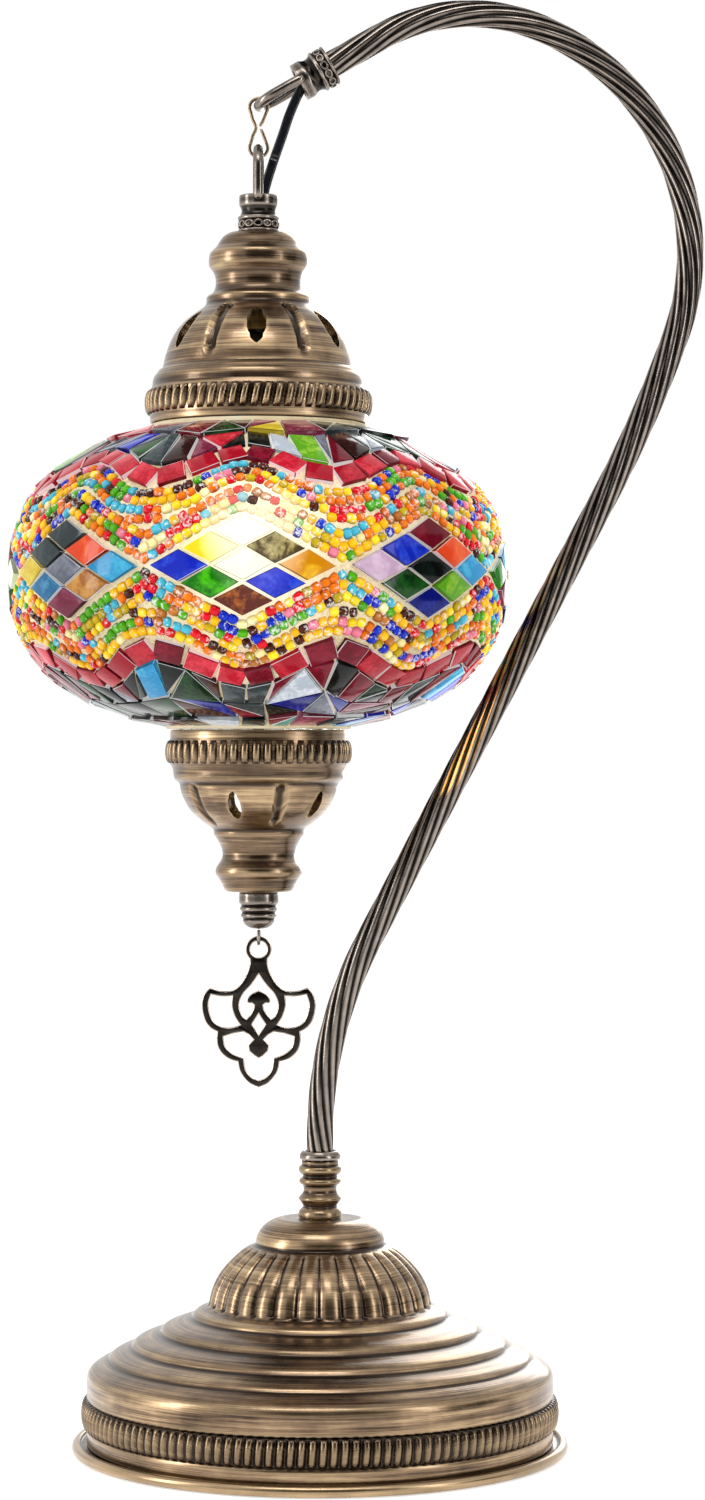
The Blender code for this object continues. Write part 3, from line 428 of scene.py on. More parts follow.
def lit_glass(name, gloss, body, shine, hot_reach, hot_power=1.0, flecks=0.5, low=0.46, high=0.66):
    """Coloured glass whose light from the bulb behind it is painted in as emission: body is its reflected
    share, shine its lit share.

    The painted glare of a bright spot ends at hot_reach. Flecks of the flare colour come between low and
    high; on beads they are painted glints.
    """
    colours = bpy.context.scene.lamp_colours
    glow = bpy.context.scene.lamp_sizes.glow
    finish = Finish(name, Roughness=gloss)
    finish.shader.inputs["Specular IOR Level"].default_value = 0.17
    finish.shader.inputs["Emission Strength"].default_value = glow
    spot = finish.place()
    swirl = finish.grain(spot, 0.11, 3.0, 0.55, 0.8)
    seeds = finish.grain(spot, 0.75, 2.0, 0.6)
    fleck = (swirl + (seeds - 0.5) * flecks).fade(low, high)
    pure = finish.blend(finish.tint("tint"), finish.tint("flare"), fleck)
    away = glow_spot_distance(finish)
    hot = (1.0 - away / (hot_reach * hot_reach)).clip() ** hot_power
    warm = (1.0 - away / 2600.0).clip()
    bright = finish.number(finish.node("ShaderNodeRGBToBW", {}, {0: pure}).outputs[0])
    # Painted glare: near a painted bright spot the glass whitens towards the lamp's light.
    white = (hot * (bright * 2.0 + 0.02)).clip()
    seen = finish.blend(pure, tuple(colours.lamp_light), white)
    # Painted backlight: a base share, a broad glow round the bright spots, and their glare.
    strength = shine + warm * 0.26 + hot * 0.8 + (swirl - 0.5) * 0.16
    lit = finish.blend((0.0, 0.0, 0.0), seen, strength)
    shade = finish.blend((0.0, 0.0, 0.0), pure, body)
    return finish.surface(Base_Color=shade, Emission_Color=lit, Roughness=gloss + seeds * 0.10,
                          Normal=finish.bump(swirl + seeds * 0.3, 0.10))


def grout_paste(name, lines=False):
    """Cream grout whose light from behind is painted in as emission, with a gritty face or one that is wiped
    round in lines.
    """
    colours = bpy.context.scene.lamp_colours
    finish = Finish(name, Roughness=0.6)
    finish.shader.inputs["Emission Strength"].default_value = bpy.context.scene.lamp_sizes.glow
    spot = finish.place()
    stain = finish.grain(spot, 0.07, 3.0, 0.6)
    if lines:
        x, y, z = finish.parts(spot)
        grit = finish.grain(finish.vector(x * 0.03, y * 0.03, z * 2.2), 1.0, 3.0, 0.7)
    else:
        grit = finish.grain(spot, 1.3, 4.0, 0.7)
    stained = [part * tone for part, tone in zip(colours.grout, (0.42, 0.34, 0.20))]
    paste = finish.ramp(grit * 0.6 + stain * 0.5,
                        [(0.3, stained), (0.55, colours.grout), (0.85, (0.98, 0.95, 0.84))])
    # Painted glow: brighter round the painted bright spots, and whitened at their middle.
    away = glow_spot_distance(finish)
    warm = (1.0 - away / 3000.0).clip()
    hot = (1.0 - away / 650.0).clip()
    seen = finish.blend(paste, tuple(colours.lamp_light), hot)
    lit = finish.blend((0.0, 0.0, 0.0), seen, 0.17 + warm * 0.42 + hot * 0.5)
    return finish.surface(Base_Color=finish.blend((0.0, 0.0, 0.0), paste, 0.72), Emission_Color=lit,
                          Normal=finish.bump(grit, 0.25))


# ---------------------------------------------------------------- modelling helpers

def smooth_run(*points, each):
    """Return points of a smooth run through a few given ones, each the number of steps between two."""
    ends = [points[0], *points, points[-1]]
    run = []
    for span in range(len(points) - 1):
        a, b, c, d = (Vector(ends[span + k]) for k in range(4))
        for step in range(each):
            t = step / each
            run.append(0.5 * (2 * b + (c - a) * t + (2 * a - 5 * b + 4 * c - d) * t ** 2
                              + (3 * b - a - 3 * c + d) * t ** 3))
    run.append(Vector(points[-1]))
    return [tuple(point) for point in run]


def lathe(outline, steps, x=0.0, fine=None):
    """Spin a closed outline of (radius, height) corners about an upright axis.

    Where fine is given, its sides are first split into lengths below that, and its corners are softened.
    """
    work = bmesh.new()
    corners = [work.verts.new((radius * MM, 0.0, height * MM)) for radius, height in outline]
    edges = [work.edges.new(pair) for pair in zip(corners, corners[1:] + corners[:1])]
    if fine:
        splits = {edge: int(edge.calc_length() / MM / fine) for edge in edges}
        for cuts in sorted(set(splits.values()) - {0}):
            alike = [edge for edge in edges if splits[edge] == cuts]
            bmesh.ops.subdivide_edges(work, edges=alike, cuts=cuts)
        bmesh.ops.smooth_vert(work, verts=work.verts[:], factor=0.5, use_axis_x=True, use_axis_z=True)
    bmesh.ops.spin(work, geom=work.verts[:] + work.edges[:], cent=(0, 0, 0), axis=(0, 0, 1),
                   angle=math.tau, steps=steps, use_merge=True)
    bmesh.ops.remove_doubles(work, verts=work.verts, dist=0.00001)
    bmesh.ops.recalc_face_normals(work, faces=work.faces)
    bmesh.ops.translate(work, vec=(x * MM, 0, 0), verts=work.verts)
    return work


def shift_round(work, x, move):
    """Move each point out from an upright axis by what move(angle, radius, height) returns, in mm."""
    for vert in work.verts:
        across = vert.co.x - x * MM
        radius = math.hypot(across, vert.co.y)
        if radius < 1e-6:
            continue
        step = move(math.atan2(vert.co.y, across), radius / MM, vert.co.z / MM) * MM
        vert.co.x += across / radius * step
        vert.co.y += vert.co.y / radius * step


def ease(value, low, high):
    """Return 0 at low and 1 at high, smooth between them."""
    t = min(1.0, max(0.0, (value - low) / (high - low)))
    return t * t * (3 - 2 * t)


def mark_relief(work, gain, rounds):
    """Store how far each point stands proud: 1 on edges, 0.5 on flats and 0 in hollows.

    How proud a point stands is first averaged with its neighbours in rounds, and then in a few more
    rounds, which find the broad hollows.
    """
    layer = work.verts.layers.float.new("relief")
    work.normal_update()
    proud = {}
    for vert in work.verts:
        aways = [edge.other_vert(vert).co - vert.co for edge in vert.link_edges]
        bend = sum(away.normalized().dot(vert.normal) for away in aways)
        proud[vert] = -bend / max(1, len(aways))
    wide = proud
    for step in range(rounds + WIDE_ROUNDS):
        wide = {vert: 0.5 * value + 0.5 * sum(wide[edge.other_vert(vert)] for edge in vert.link_edges)
                / max(1, len(vert.link_edges)) for vert, value in wide.items()}
        if step == rounds - 1:
            proud = wide
    for vert, value in proud.items():
        vert[layer] = min(1.0, max(0.0, 0.5 + (value * 2.2 + wide[vert] * 3.0) * gain))


def keep(name, work, material, body, *nodes, slot=None, flat=None):
    """Turn finished mesh work into a piece that rides on a body and stands for CAD nodes."""
    mesh = bpy.data.meshes.new(name)
    work.to_mesh(mesh)
    work.free()
    mesh.materials.append(material)
    piece = bpy.data.objects.new(name, mesh)
    bpy.context.scene.collection.objects.link(piece)
    mesh.shade_smooth()
    if flat is not None:
        mesh.set_sharp_from_angle(angle=math.radians(flat))
    if body:
        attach(piece, body)
    if nodes:
        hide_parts(*nodes)
    return piece


def join(work, *others):
    """Put other mesh work into the first, and free the others."""
    for other in others:
        mesh = bpy.data.meshes.new("joined")
        other.to_mesh(mesh)
        other.free()
        work.from_mesh(mesh)
        bpy.data.meshes.remove(mesh)
    return work


def cut(work, cutter):
    """Take a cutter's mesh work out of the first, and return the result as new mesh work."""
    things = []
    for name, part in (("blank", work), ("cutter", cutter)):
        mesh = bpy.data.meshes.new(name)
        part.to_mesh(mesh)
        part.free()
        thing = bpy.data.objects.new(name, mesh)
        bpy.context.scene.collection.objects.link(thing)
        things.append(thing)
    blank, tool = things
    modifier = blank.modifiers.new("cut", "BOOLEAN")
    modifier.operation = "DIFFERENCE"
    modifier.solver = "EXACT"
    modifier.object = tool
    depsgraph = bpy.context.evaluated_depsgraph_get()
    mesh = bpy.data.meshes.new_from_object(blank.evaluated_get(depsgraph))
    made = bmesh.new()
    made.from_mesh(mesh)
    for thing in things:
        data = thing.data
        bpy.data.objects.remove(thing)
        bpy.data.meshes.remove(data)
    bpy.data.meshes.remove(mesh)
    return made


def frames_along(route, across, turn=None):
    """Return a matrix at each point of a flat route in mm; across is the route's plane normal."""
    matrices = []
    side = Vector(across).normalized()
    for index, point in enumerate(route):
        before = Vector(route[max(0, index - 1)])
        after = Vector(route[min(len(route) - 1, index + 1)])
        along = (after - before).normalized()
        normal = side.cross(along)
        place = Matrix((normal, side, along)).transposed().to_4x4()
        place.translation = Vector(point) * MM
        if turn:
            place = place @ Matrix.Rotation(turn[index], 4, "Z")
        matrices.append(place)
    return matrices


def sweep(section, matrices, scales=None):
    """Extrude a closed section of (a, b) points in mm through a row of matrices, with end caps."""
    work = bmesh.new()
    scales = scales or [1.0] * len(matrices)
    first = [Vector((a * MM * scales[0], b * MM * scales[0], 0.0)) for a, b in section]
    ring = [work.verts.new(matrices[0] @ point) for point in first]
    edges = [work.edges.new(pair) for pair in zip(ring, ring[1:] + ring[:1])]
    work.faces.new(ring)
    for index in range(1, len(matrices)):
        made = bmesh.ops.extrude_edge_only(work, edges=edges)["geom"]
        new = [item for item in made if isinstance(item, bmesh.types.BMVert)]
        grow = Matrix.Scale(scales[index] / scales[index - 1], 4)
        bmesh.ops.transform(work, matrix=matrices[index] @ grow @ matrices[index - 1].inverted(), verts=new)
        chosen = set(new)
        edges = [item for item in made if isinstance(item, bmesh.types.BMEdge)
                 and item.verts[0] in chosen and item.verts[1] in chosen]
    bmesh.ops.contextual_create(work, geom=edges)
    bmesh.ops.recalc_face_normals(work, faces=work.faces)
    return work


def rod(route, radius, across, sides):
    """Sweep a round wire along a flat route, its ends rounded over."""
    route = [Vector(point) for point in route]
    first = (route[1] - route[0]).normalized() * radius
    last = (route[-1] - route[-2]).normalized() * radius
    route = [route[0], route[0] + first * 0.3, route[0] + first] + route[1:]
    route = route[:-1] + [route[-1] - last, route[-1] - last * 0.3, route[-1]]
    scales = [0.35, 0.75] + [1.0] * (len(route) - 4) + [0.75, 0.35]
    circle = [(radius * math.cos(math.tau * k / sides), radius * math.sin(math.tau * k / sides))
              for k in range(sides)]
    return sweep(circle, frames_along(route, across), scales)


def arc(centre, radius, start, end, count):
    """Return points of an arc in a plane, its angles in degrees."""
    return [(centre[0] + radius * math.cos(math.radians(start + (end - start) * k / count)),
             centre[1] + radius * math.sin(math.radians(start + (end - start) * k / count)))
            for k in range(count + 1)]


def rope_band(ridges, middle_radius, low, high, proud, x=0.0, slant=0.0, depth=1.5, steps=8):
    """Ring of rounded ridges, like laid rope, round an upright axis.

    The band bows out by proud, its hollows are pressed in by depth, and a ridge leans by slant pitches
    for each pitch that it rises.
    """
    half = (high - low) / 2
    middle = (high + low) / 2
    pitch = math.tau * middle_radius / ridges
    bow = arc((0.0, 0.0), 1.0, 84.0, -84.0, 9)
    outline = [(middle_radius - 1.4, low), (middle_radius - 1.4, high)]
    outline += [(middle_radius + proud * a ** 0.8, middle + half * b) for a, b in bow]
    work = lathe(outline, ridges * steps, x)

    def crest(angle, height):
        lean = slant * (height - middle) / pitch
        off = abs((ridges * angle / math.tau + lean) % 1.0 - 0.5) * 2.0 / RIDGE_SHARE
        return math.sqrt(max(0.0, 1.0 - off * off))

    def ridge(angle, radius, height):
        outward = max(0.0, radius - middle_radius) / proud
        return -depth * (1.0 - crest(angle, height)) * min(1.0, outward * 1.6)

    layer = work.verts.layers.float.new("relief")
    for vert in work.verts:
        height = vert.co.z / MM
        top = crest(math.atan2(vert.co.y, vert.co.x - x * MM), height)
        rim = 1.0 - abs(height - middle) / half
        vert[layer] = min(1.0, top * (0.15 + 0.95 * min(1.0, rim * 2.4)))
    shift_round(work, x, ridge)
    return work


# ---------------------------------------------------------------- arm path and lead route

def arm_path(spacing):
    """Return (x, z, heading) along the arm's middle line; heading is in degrees from +Z to +X."""
    x, z, heading = 0.0, ARM_START, 0.0
    path = [(x, z, heading)]
    for length, bend in ARM_RUNS:
        count = max(1, round(length / spacing))
        for _ in range(count):
            middle = math.radians(heading + bend / count / 2)
            chord = length / count
            if bend:
                half = math.radians(abs(bend) / count / 2)
                chord *= math.sin(half) / half
            x += chord * math.sin(middle)
            z += chord * math.cos(middle)
            heading += bend / count
            path.append((x, z, heading))
    return path


TIP_X, TIP_Z, TIP_HEADING = arm_path(3.0)[-1]
TIP_LEAN = math.radians(TIP_HEADING)
TIP_OUT = Vector((math.sin(TIP_LEAN), 0.0, math.cos(TIP_LEAN)))
CROWN = Vector((TIP_X, 0.0, TIP_Z)) + TIP_OUT * (FERRULE_LENGTH - SOCKET_DEPTH + BAIL_REACH)
SHADE_MOUTH = CROWN.z - LINK_DROP - BAIL_REACH
HOLDER_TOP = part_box("lampholder")[1].z / MM
LEAD_WIDTH = 3.2
LEAD_TIP = Vector((TIP_X, 0.0, TIP_Z))
LEAD_POINTS = [LEAD_TIP + TIP_OUT * 0.3, LEAD_TIP + TIP_OUT * 4.0, (-6.2, 0.0, 446.6), (-9.9, 0.0, 438.3),
               (-12.3, 0.0, 431.2), (-14.9, 0.0, 423.8), (-17.4, 0.0, 416.0), (SHADE_X + 1.2, 0.0, 409.6),
               (SHADE_X + 0.2, 0.0, 403.5), (SHADE_X, 0.0, 397.0), (SHADE_X, 0.0, HOLDER_TOP + 0.4)]
LEAD_SPLIT = 5
LEAD_STEPS = 6


# ---------------------------------------------------------------- globe geometry

class Glass:
    """Outline of the globe, addressed by an angle about its axis and the distance up its face."""

    def __init__(self, count=1600):
        power = 2.0 / GLOBE_SQUARENESS
        reach = GLOBE_RADIUS - TILE_FACE_DEPTH
        rise = GLOBE_HALF_HEIGHT - TILE_FACE_DEPTH
        profile = []
        for index in range(count + 1):
            t = math.pi / 2 * (1.0 - 2.0 * index / count) * 0.999
            height = math.copysign(abs(math.sin(t)) ** power, t) * rise
            profile.append((reach * math.cos(t) ** power, height))
        run = [0.0]
        for (r0, z0), (r1, z1) in zip(profile, profile[1:]):
            run.append(run[-1] + math.hypot(r1 - r0, z1 - z0))
        middle = run[count // 2]
        self.table = [(middle - length, r, z + GLOBE_MIDDLE) for length, (r, z) in zip(run, profile)]
        self.table.reverse()

    def spot(self, along):
        """Return (radius, height, slope vector) at a distance up the face from the equator."""
        low, high = 0, len(self.table) - 1
        while high - low > 1:
            half = (low + high) // 2
            if self.table[half][0] <= along:
                low = half
            else:
                high = half
        a, b = self.table[low], self.table[high]
        share = (along - a[0]) / (b[0] - a[0])
        tangent = Vector((b[1] - a[1], b[2] - a[2])).normalized()
        return a[1] + (b[1] - a[1]) * share, a[2] + (b[2] - a[2]) * share, tangent

    def along_at_radius(self, radius, side):
        """Return the distance up or down the face at which the globe has that radius."""
        rows = self.table if side > 0 else self.table[::-1]
        rows = [row for row in rows if row[0] * side >= 0]
        return min(rows, key=lambda row: abs(row[1] - radius))[0]

    def frame(self, angle, along, sink=0.0):
        """Return a matrix on the face: X round the globe, Y up the face and Z outwards."""
        radius, height, tangent = self.spot(along)
        turn = math.radians(angle)
        out = Vector((math.cos(turn), math.sin(turn), 0.0))
        east = Vector((-out.y, out.x, 0.0))
        north = out * tangent.x + Vector((0.0, 0.0, tangent.y))
        normal = east.cross(north)
        place = out * radius + Vector((SHADE_X, 0.0, height)) - normal * sink
        matrix = Matrix((east, north, normal)).transposed().to_4x4()
        matrix.translation = place * MM
        return matrix

    def point(self, angle, along):
        """Return a point on the face, in metres."""
        return self.frame(angle, along).translation


GLASS = Glass()
MEDALLION_HALF_WIDTH = 21.3
MEDALLION_HALF_HEIGHT = 16.3
# A step square to a medallion's edge takes this many times its length up the face
MEDALLION_RISE = 1.13
# Border above and below: its distance from the equator between two medallions, and its swell at each
BORDER = {1: (30.2, 12.2), -1: (26.8, 13.2)}
BORDER_WIDTH = 8.2
BORDER_RADIUS = 75.0
BEAD_PITCH = 3.05
TOP_EDGE = GLASS.along_at_radius(36.2, 1)
LOW_EDGE = GLASS.along_at_radius(30.8, -1)


def border_line(angle, side):
    """Return how far up or down the face the wavy border's middle runs at an angle."""
    low, swell = BORDER[side]
    turn = (angle - FRONT - MEDALLION_PHASE) * MEDALLIONS
    return low + swell * (0.5 + 0.5 * math.cos(math.radians(turn)))


def medallion_edge(angle):
    """Return how far the diamond medallions reach from the equator at an angle."""
    share = 360.0 / MEDALLIONS
    offset = (angle - FRONT - MEDALLION_PHASE + share / 2) % share - share / 2
    return MEDALLION_HALF_HEIGHT * (1.0 - math.sqrt(offset * offset + 0.6) / MEDALLION_HALF_WIDTH)


# Glass colours: (tint, flare) of each kind of sheet glass
BLACK = ((0.003, 0.004, 0.004), (0.008, 0.016, 0.012))
SLATE = ((0.035, 0.05, 0.052), (0.08, 0.10, 0.11))
BROWN = ((0.12, 0.022, 0.012), (0.55, 0.15, 0.03))
DARK_BROWN = ((0.03, 0.008, 0.007), (0.10, 0.03, 0.02))
OLIVE = ((0.05, 0.028, 0.001), (0.34, 0.24, 0.002))
YELLOW = ((0.92, 0.74, 0.01), (1.0, 0.88, 0.08))
PALE = ((0.90, 1.0, 0.62), (1.0, 1.0, 0.92))
# White glass, used only for the front medallion's top tile, is the bulb's glare painted in.
GLARE_WHITE = ((1.0, 0.97, 0.80), (1.0, 1.0, 1.0))
GOLD = ((0.68, 0.48, 0.02), (0.85, 0.68, 0.08))
ORANGE = ((0.66, 0.25, 0.003), (0.88, 0.48, 0.015))
AMBER = ((0.46, 0.16, 0.03), (0.72, 0.36, 0.08))
FLAME = ((0.88, 0.075, 0.02), (1.0, 0.15, 0.03))
RED = ((0.56, 0.012, 0.030), (0.80, 0.05, 0.08))
CRIMSON = ((0.40, 0.006, 0.020), (0.60, 0.03, 0.05))
WINE = ((0.15, 0.004, 0.014), (0.26, 0.01, 0.03))
PLUM = ((0.20, 0.018, 0.05), (0.32, 0.06, 0.12))
PINK = ((0.62, 0.40, 0.58), (0.76, 0.56, 0.70))
GREY = ((0.14, 0.15, 0.20), (0.26, 0.27, 0.33))
SILVER = ((0.50, 0.56, 0.64), (0.80, 0.83, 0.88))
BLUE = ((0.008, 0.022, 0.50), (0.03, 0.08, 0.72))
NAVY = ((0.004, 0.008, 0.18), (0.012, 0.03, 0.36))
CYAN = ((0.015, 0.30, 0.62), (0.08, 0.50, 0.78))
STEEL_BLUE = ((0.02, 0.16, 0.36), (0.12, 0.42, 0.62))
GREEN = ((0.006, 0.17, 0.003), (0.07, 0.52, 0.01))
DEEP_GREEN = ((0.003, 0.022, 0.006), (0.012, 0.09, 0.012))
LIME = ((0.12, 0.40, 0.015), (0.36, 0.64, 0.05))
TEAL = ((0.01, 0.16, 0.14), (0.06, 0.42, 0.36))

# Tiles of a medallion: top, upper left, upper right, left, middle, right, lower left, lower right, bottom
TILE_SPOTS = ((0, 2), (-1, 1), (1, 1), (-2, 0), (0, 0), (2, 0), (-1, -1), (1, -1), (0, -2))
# The front medallion's white top tile is the bulb's glare painted into its glass colour.
MEDALLION_COLOURS = (
    (GLARE_WHITE, YELLOW, OLIVE, BLUE, PALE, ORANGE, GREEN, BLUE, BROWN),
    (WINE, BLUE, FLAME, PINK, BLACK, CYAN, DEEP_GREEN, LIME, NAVY),
    (YELLOW, CYAN, FLAME, GREEN, ORANGE, BLUE, PLUM, GOLD, NAVY),
    (SLATE, SLATE, FLAME, GOLD, GREY, CYAN, STEEL_BLUE, AMBER, PLUM),
    (PALE, ORANGE, BLUE, LIME, YELLOW, FLAME, NAVY, PINK, GREEN),
    (WINE, GOLD, CYAN, BLACK, BLUE, AMBER, SLATE, FLAME, DEEP_GREEN),
    (GOLD, BLUE, BROWN, FLAME, CYAN, PALE, OLIVE, GREEN, PLUM),
    (SLATE, SLATE, FLAME, GOLD, GREY, CYAN, STEEL_BLUE, AMBER, PLUM),
)

# What is drawn at random: (colour, weight) pairs
UPPER_PIECES = ((BLACK, 5), (DARK_BROWN, 4), (SLATE, 5), (RED, 4), (LIME, 2), (NAVY, 3), (BLUE, 2),
                (PLUM, 5), (CYAN, 2), (GREY, 4), (GOLD, 1), (WINE, 3), (DEEP_GREEN, 4), (SILVER, 2),
                (TEAL, 1))
LOWER_PIECES = ((BLACK, 9), (DARK_BROWN, 6), (SLATE, 5), (PLUM, 3), (WINE, 3), (BLUE, 2), (CYAN, 2),
                (NAVY, 3), (SILVER, 2), (GREY, 3), (TEAL, 1), (DEEP_GREEN, 3))
BEAD_COLOURS = (((0.95, 0.56, 0.006), 26), ((0.86, 0.24, 0.003), 20), ((1.0, 0.74, 0.03), 12),
                ((0.76, 0.012, 0.03), 12), ((0.10, 0.52, 0.66), 9), ((0.010, 0.05, 0.56), 8),
                ((0.12, 0.46, 0.008), 9), ((0.95, 0.84, 0.42), 5), ((0.84, 0.26, 0.36), 4),
                ((0.10, 0.018, 0.004), 8), ((0.60, 0.44, 0.008), 7), ((0.56, 0.22, 0.04), 4))


def pick(rng, choices):
    """Choose one of (thing, weight) pairs."""
    return rng.choices([thing for thing, _ in choices], [weight for _, weight in choices])[0]


def paint(work, tint, flare):
    """Store a glass colour on every corner of the mesh work."""
    layers = [work.loops.layers.float_color.new("tint"), work.loops.layers.float_color.new("flare")]
    for face in work.faces:
        for loop in face.loops:
            loop[layers[0]] = (*tint, 1.0)
            loop[layers[1]] = (*flare, 1.0)


def cut_tile(into, corners, glass, rng, turn, tilt, gap, chip, lift=0.0):
    """Add one flat piece of cut glass, whose corners are (angle, distance up the face).

    Turn and tilt are the most degrees that it may lie askew, gap is a share of the tile gap, and chip is
    the most by which a corner is off, as a share of its reach.
    """
    sizes = bpy.context.scene.lamp_sizes
    places = [GLASS.point(angle, along) for angle, along in corners]
    middle = sum(places, Vector()) / len(places)
    normal = (places[2] - places[0]).cross(places[-1] - places[1]).normalized()
    away = middle - Vector((SHADE_X * MM, 0.0, middle.z))
    if normal.dot(Vector((away.x, away.y, middle.z - GLOBE_MIDDLE * MM))) < 0:
        places.reverse()
        normal.negate()
    count = len(corners)
    swell = GLASS.point(sum(a for a, _ in corners) / count, sum(b for _, b in corners) / count) - middle
    lift += 0.55 * swell.dot(normal) / MM
    spin = Matrix.Rotation(math.radians(rng.uniform(-turn, turn)), 3, normal)
    lean = Matrix.Rotation(math.radians(rng.uniform(-tilt, tilt)), 3, (places[0] - middle).normalized())
    edges = list(zip(places, places[1:] + places[:1]))
    perimeter = sum((b - a).length for a, b in edges)
    area = sum(((a - middle).cross(b - middle)).length for a, b in edges) / 2
    inradius = 2 * area / perimeter
    shrink = max(0.3, 1.0 - sizes.tile_gap * gap / 2 / inradius)
    work = bmesh.new()
    flat = []
    for place in places:
        offset = (place - middle) * shrink
        offset -= normal * offset.dot(normal)
        offset *= 1.0 + rng.uniform(-chip, chip * 0.7)
        flat.append(work.verts.new(middle + lean @ (spin @ offset) + normal * lift * MM))
    top = work.faces.new(flat)
    made = bmesh.ops.extrude_face_region(work, geom=[top], use_keep_orig=True)["geom"]
    under = [item for item in made if isinstance(item, bmesh.types.BMVert)]
    bmesh.ops.translate(work, vec=-normal * sizes.tile_thickness, verts=under)
    bmesh.ops.recalc_face_normals(work, faces=work.faces)
    rim = [edge for edge in work.edges if not all(vert in under for vert in edge.verts)]
    bmesh.ops.bevel(work, geom=rim, offset=min(0.00028, inradius * 0.12), offset_type="OFFSET", segments=2,
                    profile=0.5, affect="EDGES", material=-1, clamp_overlap=True)
    paint(work, *glass)
    work.normal_update()
    # Side and bevel faces are painted at random, darker as painted shade or whitened as a painted glint.
    for face in work.faces:
        if face.normal.dot(normal) < 0.93:
            tone = rng.choice((0.25, 0.5, 0.7, 1.0))
            for loop in face.loops:
                for name, tint in zip(("tint", "flare"), glass):
                    glint = [part * tone if tone < 1.0 else part + (1.0 - part) * 0.55 for part in tint]
                    loop[work.loops.layers.float_color[name]] = (*glint, 1.0)
    join(into, work)


def add_medallion_tiles(into, rng):
    """Nine diamond tiles, three by three, in each medallion."""
    share = 360.0 / MEDALLIONS
    wide = MEDALLION_HALF_WIDTH / 3
    tall = MEDALLION_HALF_HEIGHT / 3
    for index in range(MEDALLIONS):
        centre = FRONT + MEDALLION_PHASE + share * index
        for (across, up), glass in zip(TILE_SPOTS, MEDALLION_COLOURS[index]):
            at, level = centre + across * wide, up * tall
            corners = [(at + wide, level), (at, level + tall), (at - wide, level), (at, level - tall)]
            cut_tile(into, corners, glass, rng, turn=2.0, tilt=1.4, gap=1.3, chip=0.035)


def add_border_tiles(into, rng, side):
    """Crimson tiles along the wavy border."""
    columns = 6 * MEDALLIONS
    step = 360.0 / columns
    for column in range(columns):
        angle = FRONT + MEDALLION_PHASE + step * (column + 0.5)
        left, right = angle - step / 2, angle + step / 2
        first, last = side * border_line(left, side), side * border_line(right, side)
        per_degree = math.radians(1.0) * GLASS.spot((first + last) / 2)[0]
        lean = math.atan2(last - first, step * per_degree)
        across = -math.sin(lean) * BORDER_WIDTH / 2 / per_degree
        up = math.cos(lean) * BORDER_WIDTH / 2
        corners = [(left + across, first + up), (right + across, last + up),
                   (right - across, last - up), (left - across, first - up)]
        glass = pick(rng, ((CRIMSON, 7), (RED, 4 if side > 0 else 2), (WINE, 2)))
        cut_tile(into, corners, glass, rng, turn=7.0, tilt=3.0, gap=1.45, chip=0.06)


def add_outer_tiles(into, rng, side):
    """Irregular triangles and four-sided pieces between the border and the lip."""
    count = 3 * MEDALLIONS
    step = 360.0 / count
    end = TOP_EDGE if side > 0 else LOW_EDGE
    shares = (0.5,) if side > 0 else (0.34, 0.68)
    start = FRONT + MEDALLION_PHASE + (0.0 if side > 0 else step / 2)
    rows = []
    for index in range(count):
        angle = start + step * index
        row = [(at, side * (border_line(at, side) + BORDER_WIDTH / 2 + 0.3))
               for at in (angle, angle + step / 2)]
        near = row[0][1]
        for share in shares:
            at = angle + rng.uniform(-0.2, 0.2) * step
            row.append((at, near + (end - near) * (share + rng.uniform(-0.07, 0.07))))
        row.append((angle + rng.uniform(-0.15, 0.15) * step, end))
        rows.append(row)
    for index in range(count):
        a, b, p, *here = rows[index]
        c, _, q, *there = rows[(index + 1) % count]
        if index == count - 1:
            c, q, *there = ((angle + 360.0, along) for angle, along in (c, q, *there))
        m = tuple(first + (last - first) * rng.uniform(0.35, 0.65) for first, last in zip(p, q))
        groups = rng.choice(([(a, b, p), (p, b, q), (b, c, q)], [(a, b, m, p), (b, c, q, m)],
                             [(a, b, p), (b, m, p), (b, c, q, m)], [(a, b, m, p), (b, c, q), (b, q, m)]))
        for low, high, next_low, next_high in zip([p, *here], here, [q, *there], there):
            choice = rng.random()
            if choice < 0.4:
                groups.append((low, next_low, next_high, high))
            elif choice < 0.7:
                groups += [(low, next_low, high), (next_low, next_high, high)]
            else:
                groups += [(low, next_low, next_high), (low, next_high, high)]
        for corners in groups:
            at_end = any(abs(along - end) < 0.01 for _, along in corners)
            glass = pick(rng, UPPER_PIECES if side > 0 else LOWER_PIECES)
            cut_tile(into, corners, glass, rng, turn=3.0, tilt=3.0, gap=1.2, chip=0.06,
                     lift=0.8 if at_end else 0.0)


def bead_template():
    """Barrel bead with a hole along X, as mesh data."""
    sizes = bpy.context.scene.lamp_sizes
    radius, half = sizes.bead_radius, sizes.bead_length / 2
    outline = ((-half, radius * 0.5), (-half * 0.76, radius * 0.9), (0.0, radius),
               (half * 0.76, radius * 0.9), (half, radius * 0.5))
    work = bmesh.new()
    ring = [work.verts.new((x, 0.0, r)) for x, r in outline]
    for pair in zip(ring, ring[1:] + ring[:1]):
        work.edges.new(pair)
    bmesh.ops.spin(work, geom=work.verts[:] + work.edges[:], cent=(0, 0, 0), axis=(1, 0, 0),
                   angle=math.tau, steps=8, use_merge=True)
    bmesh.ops.remove_doubles(work, verts=work.verts, dist=0.000001)
    bmesh.ops.recalc_face_normals(work, faces=work.faces)
    paint(work, (1, 1, 1), (1, 1, 1))
    return work


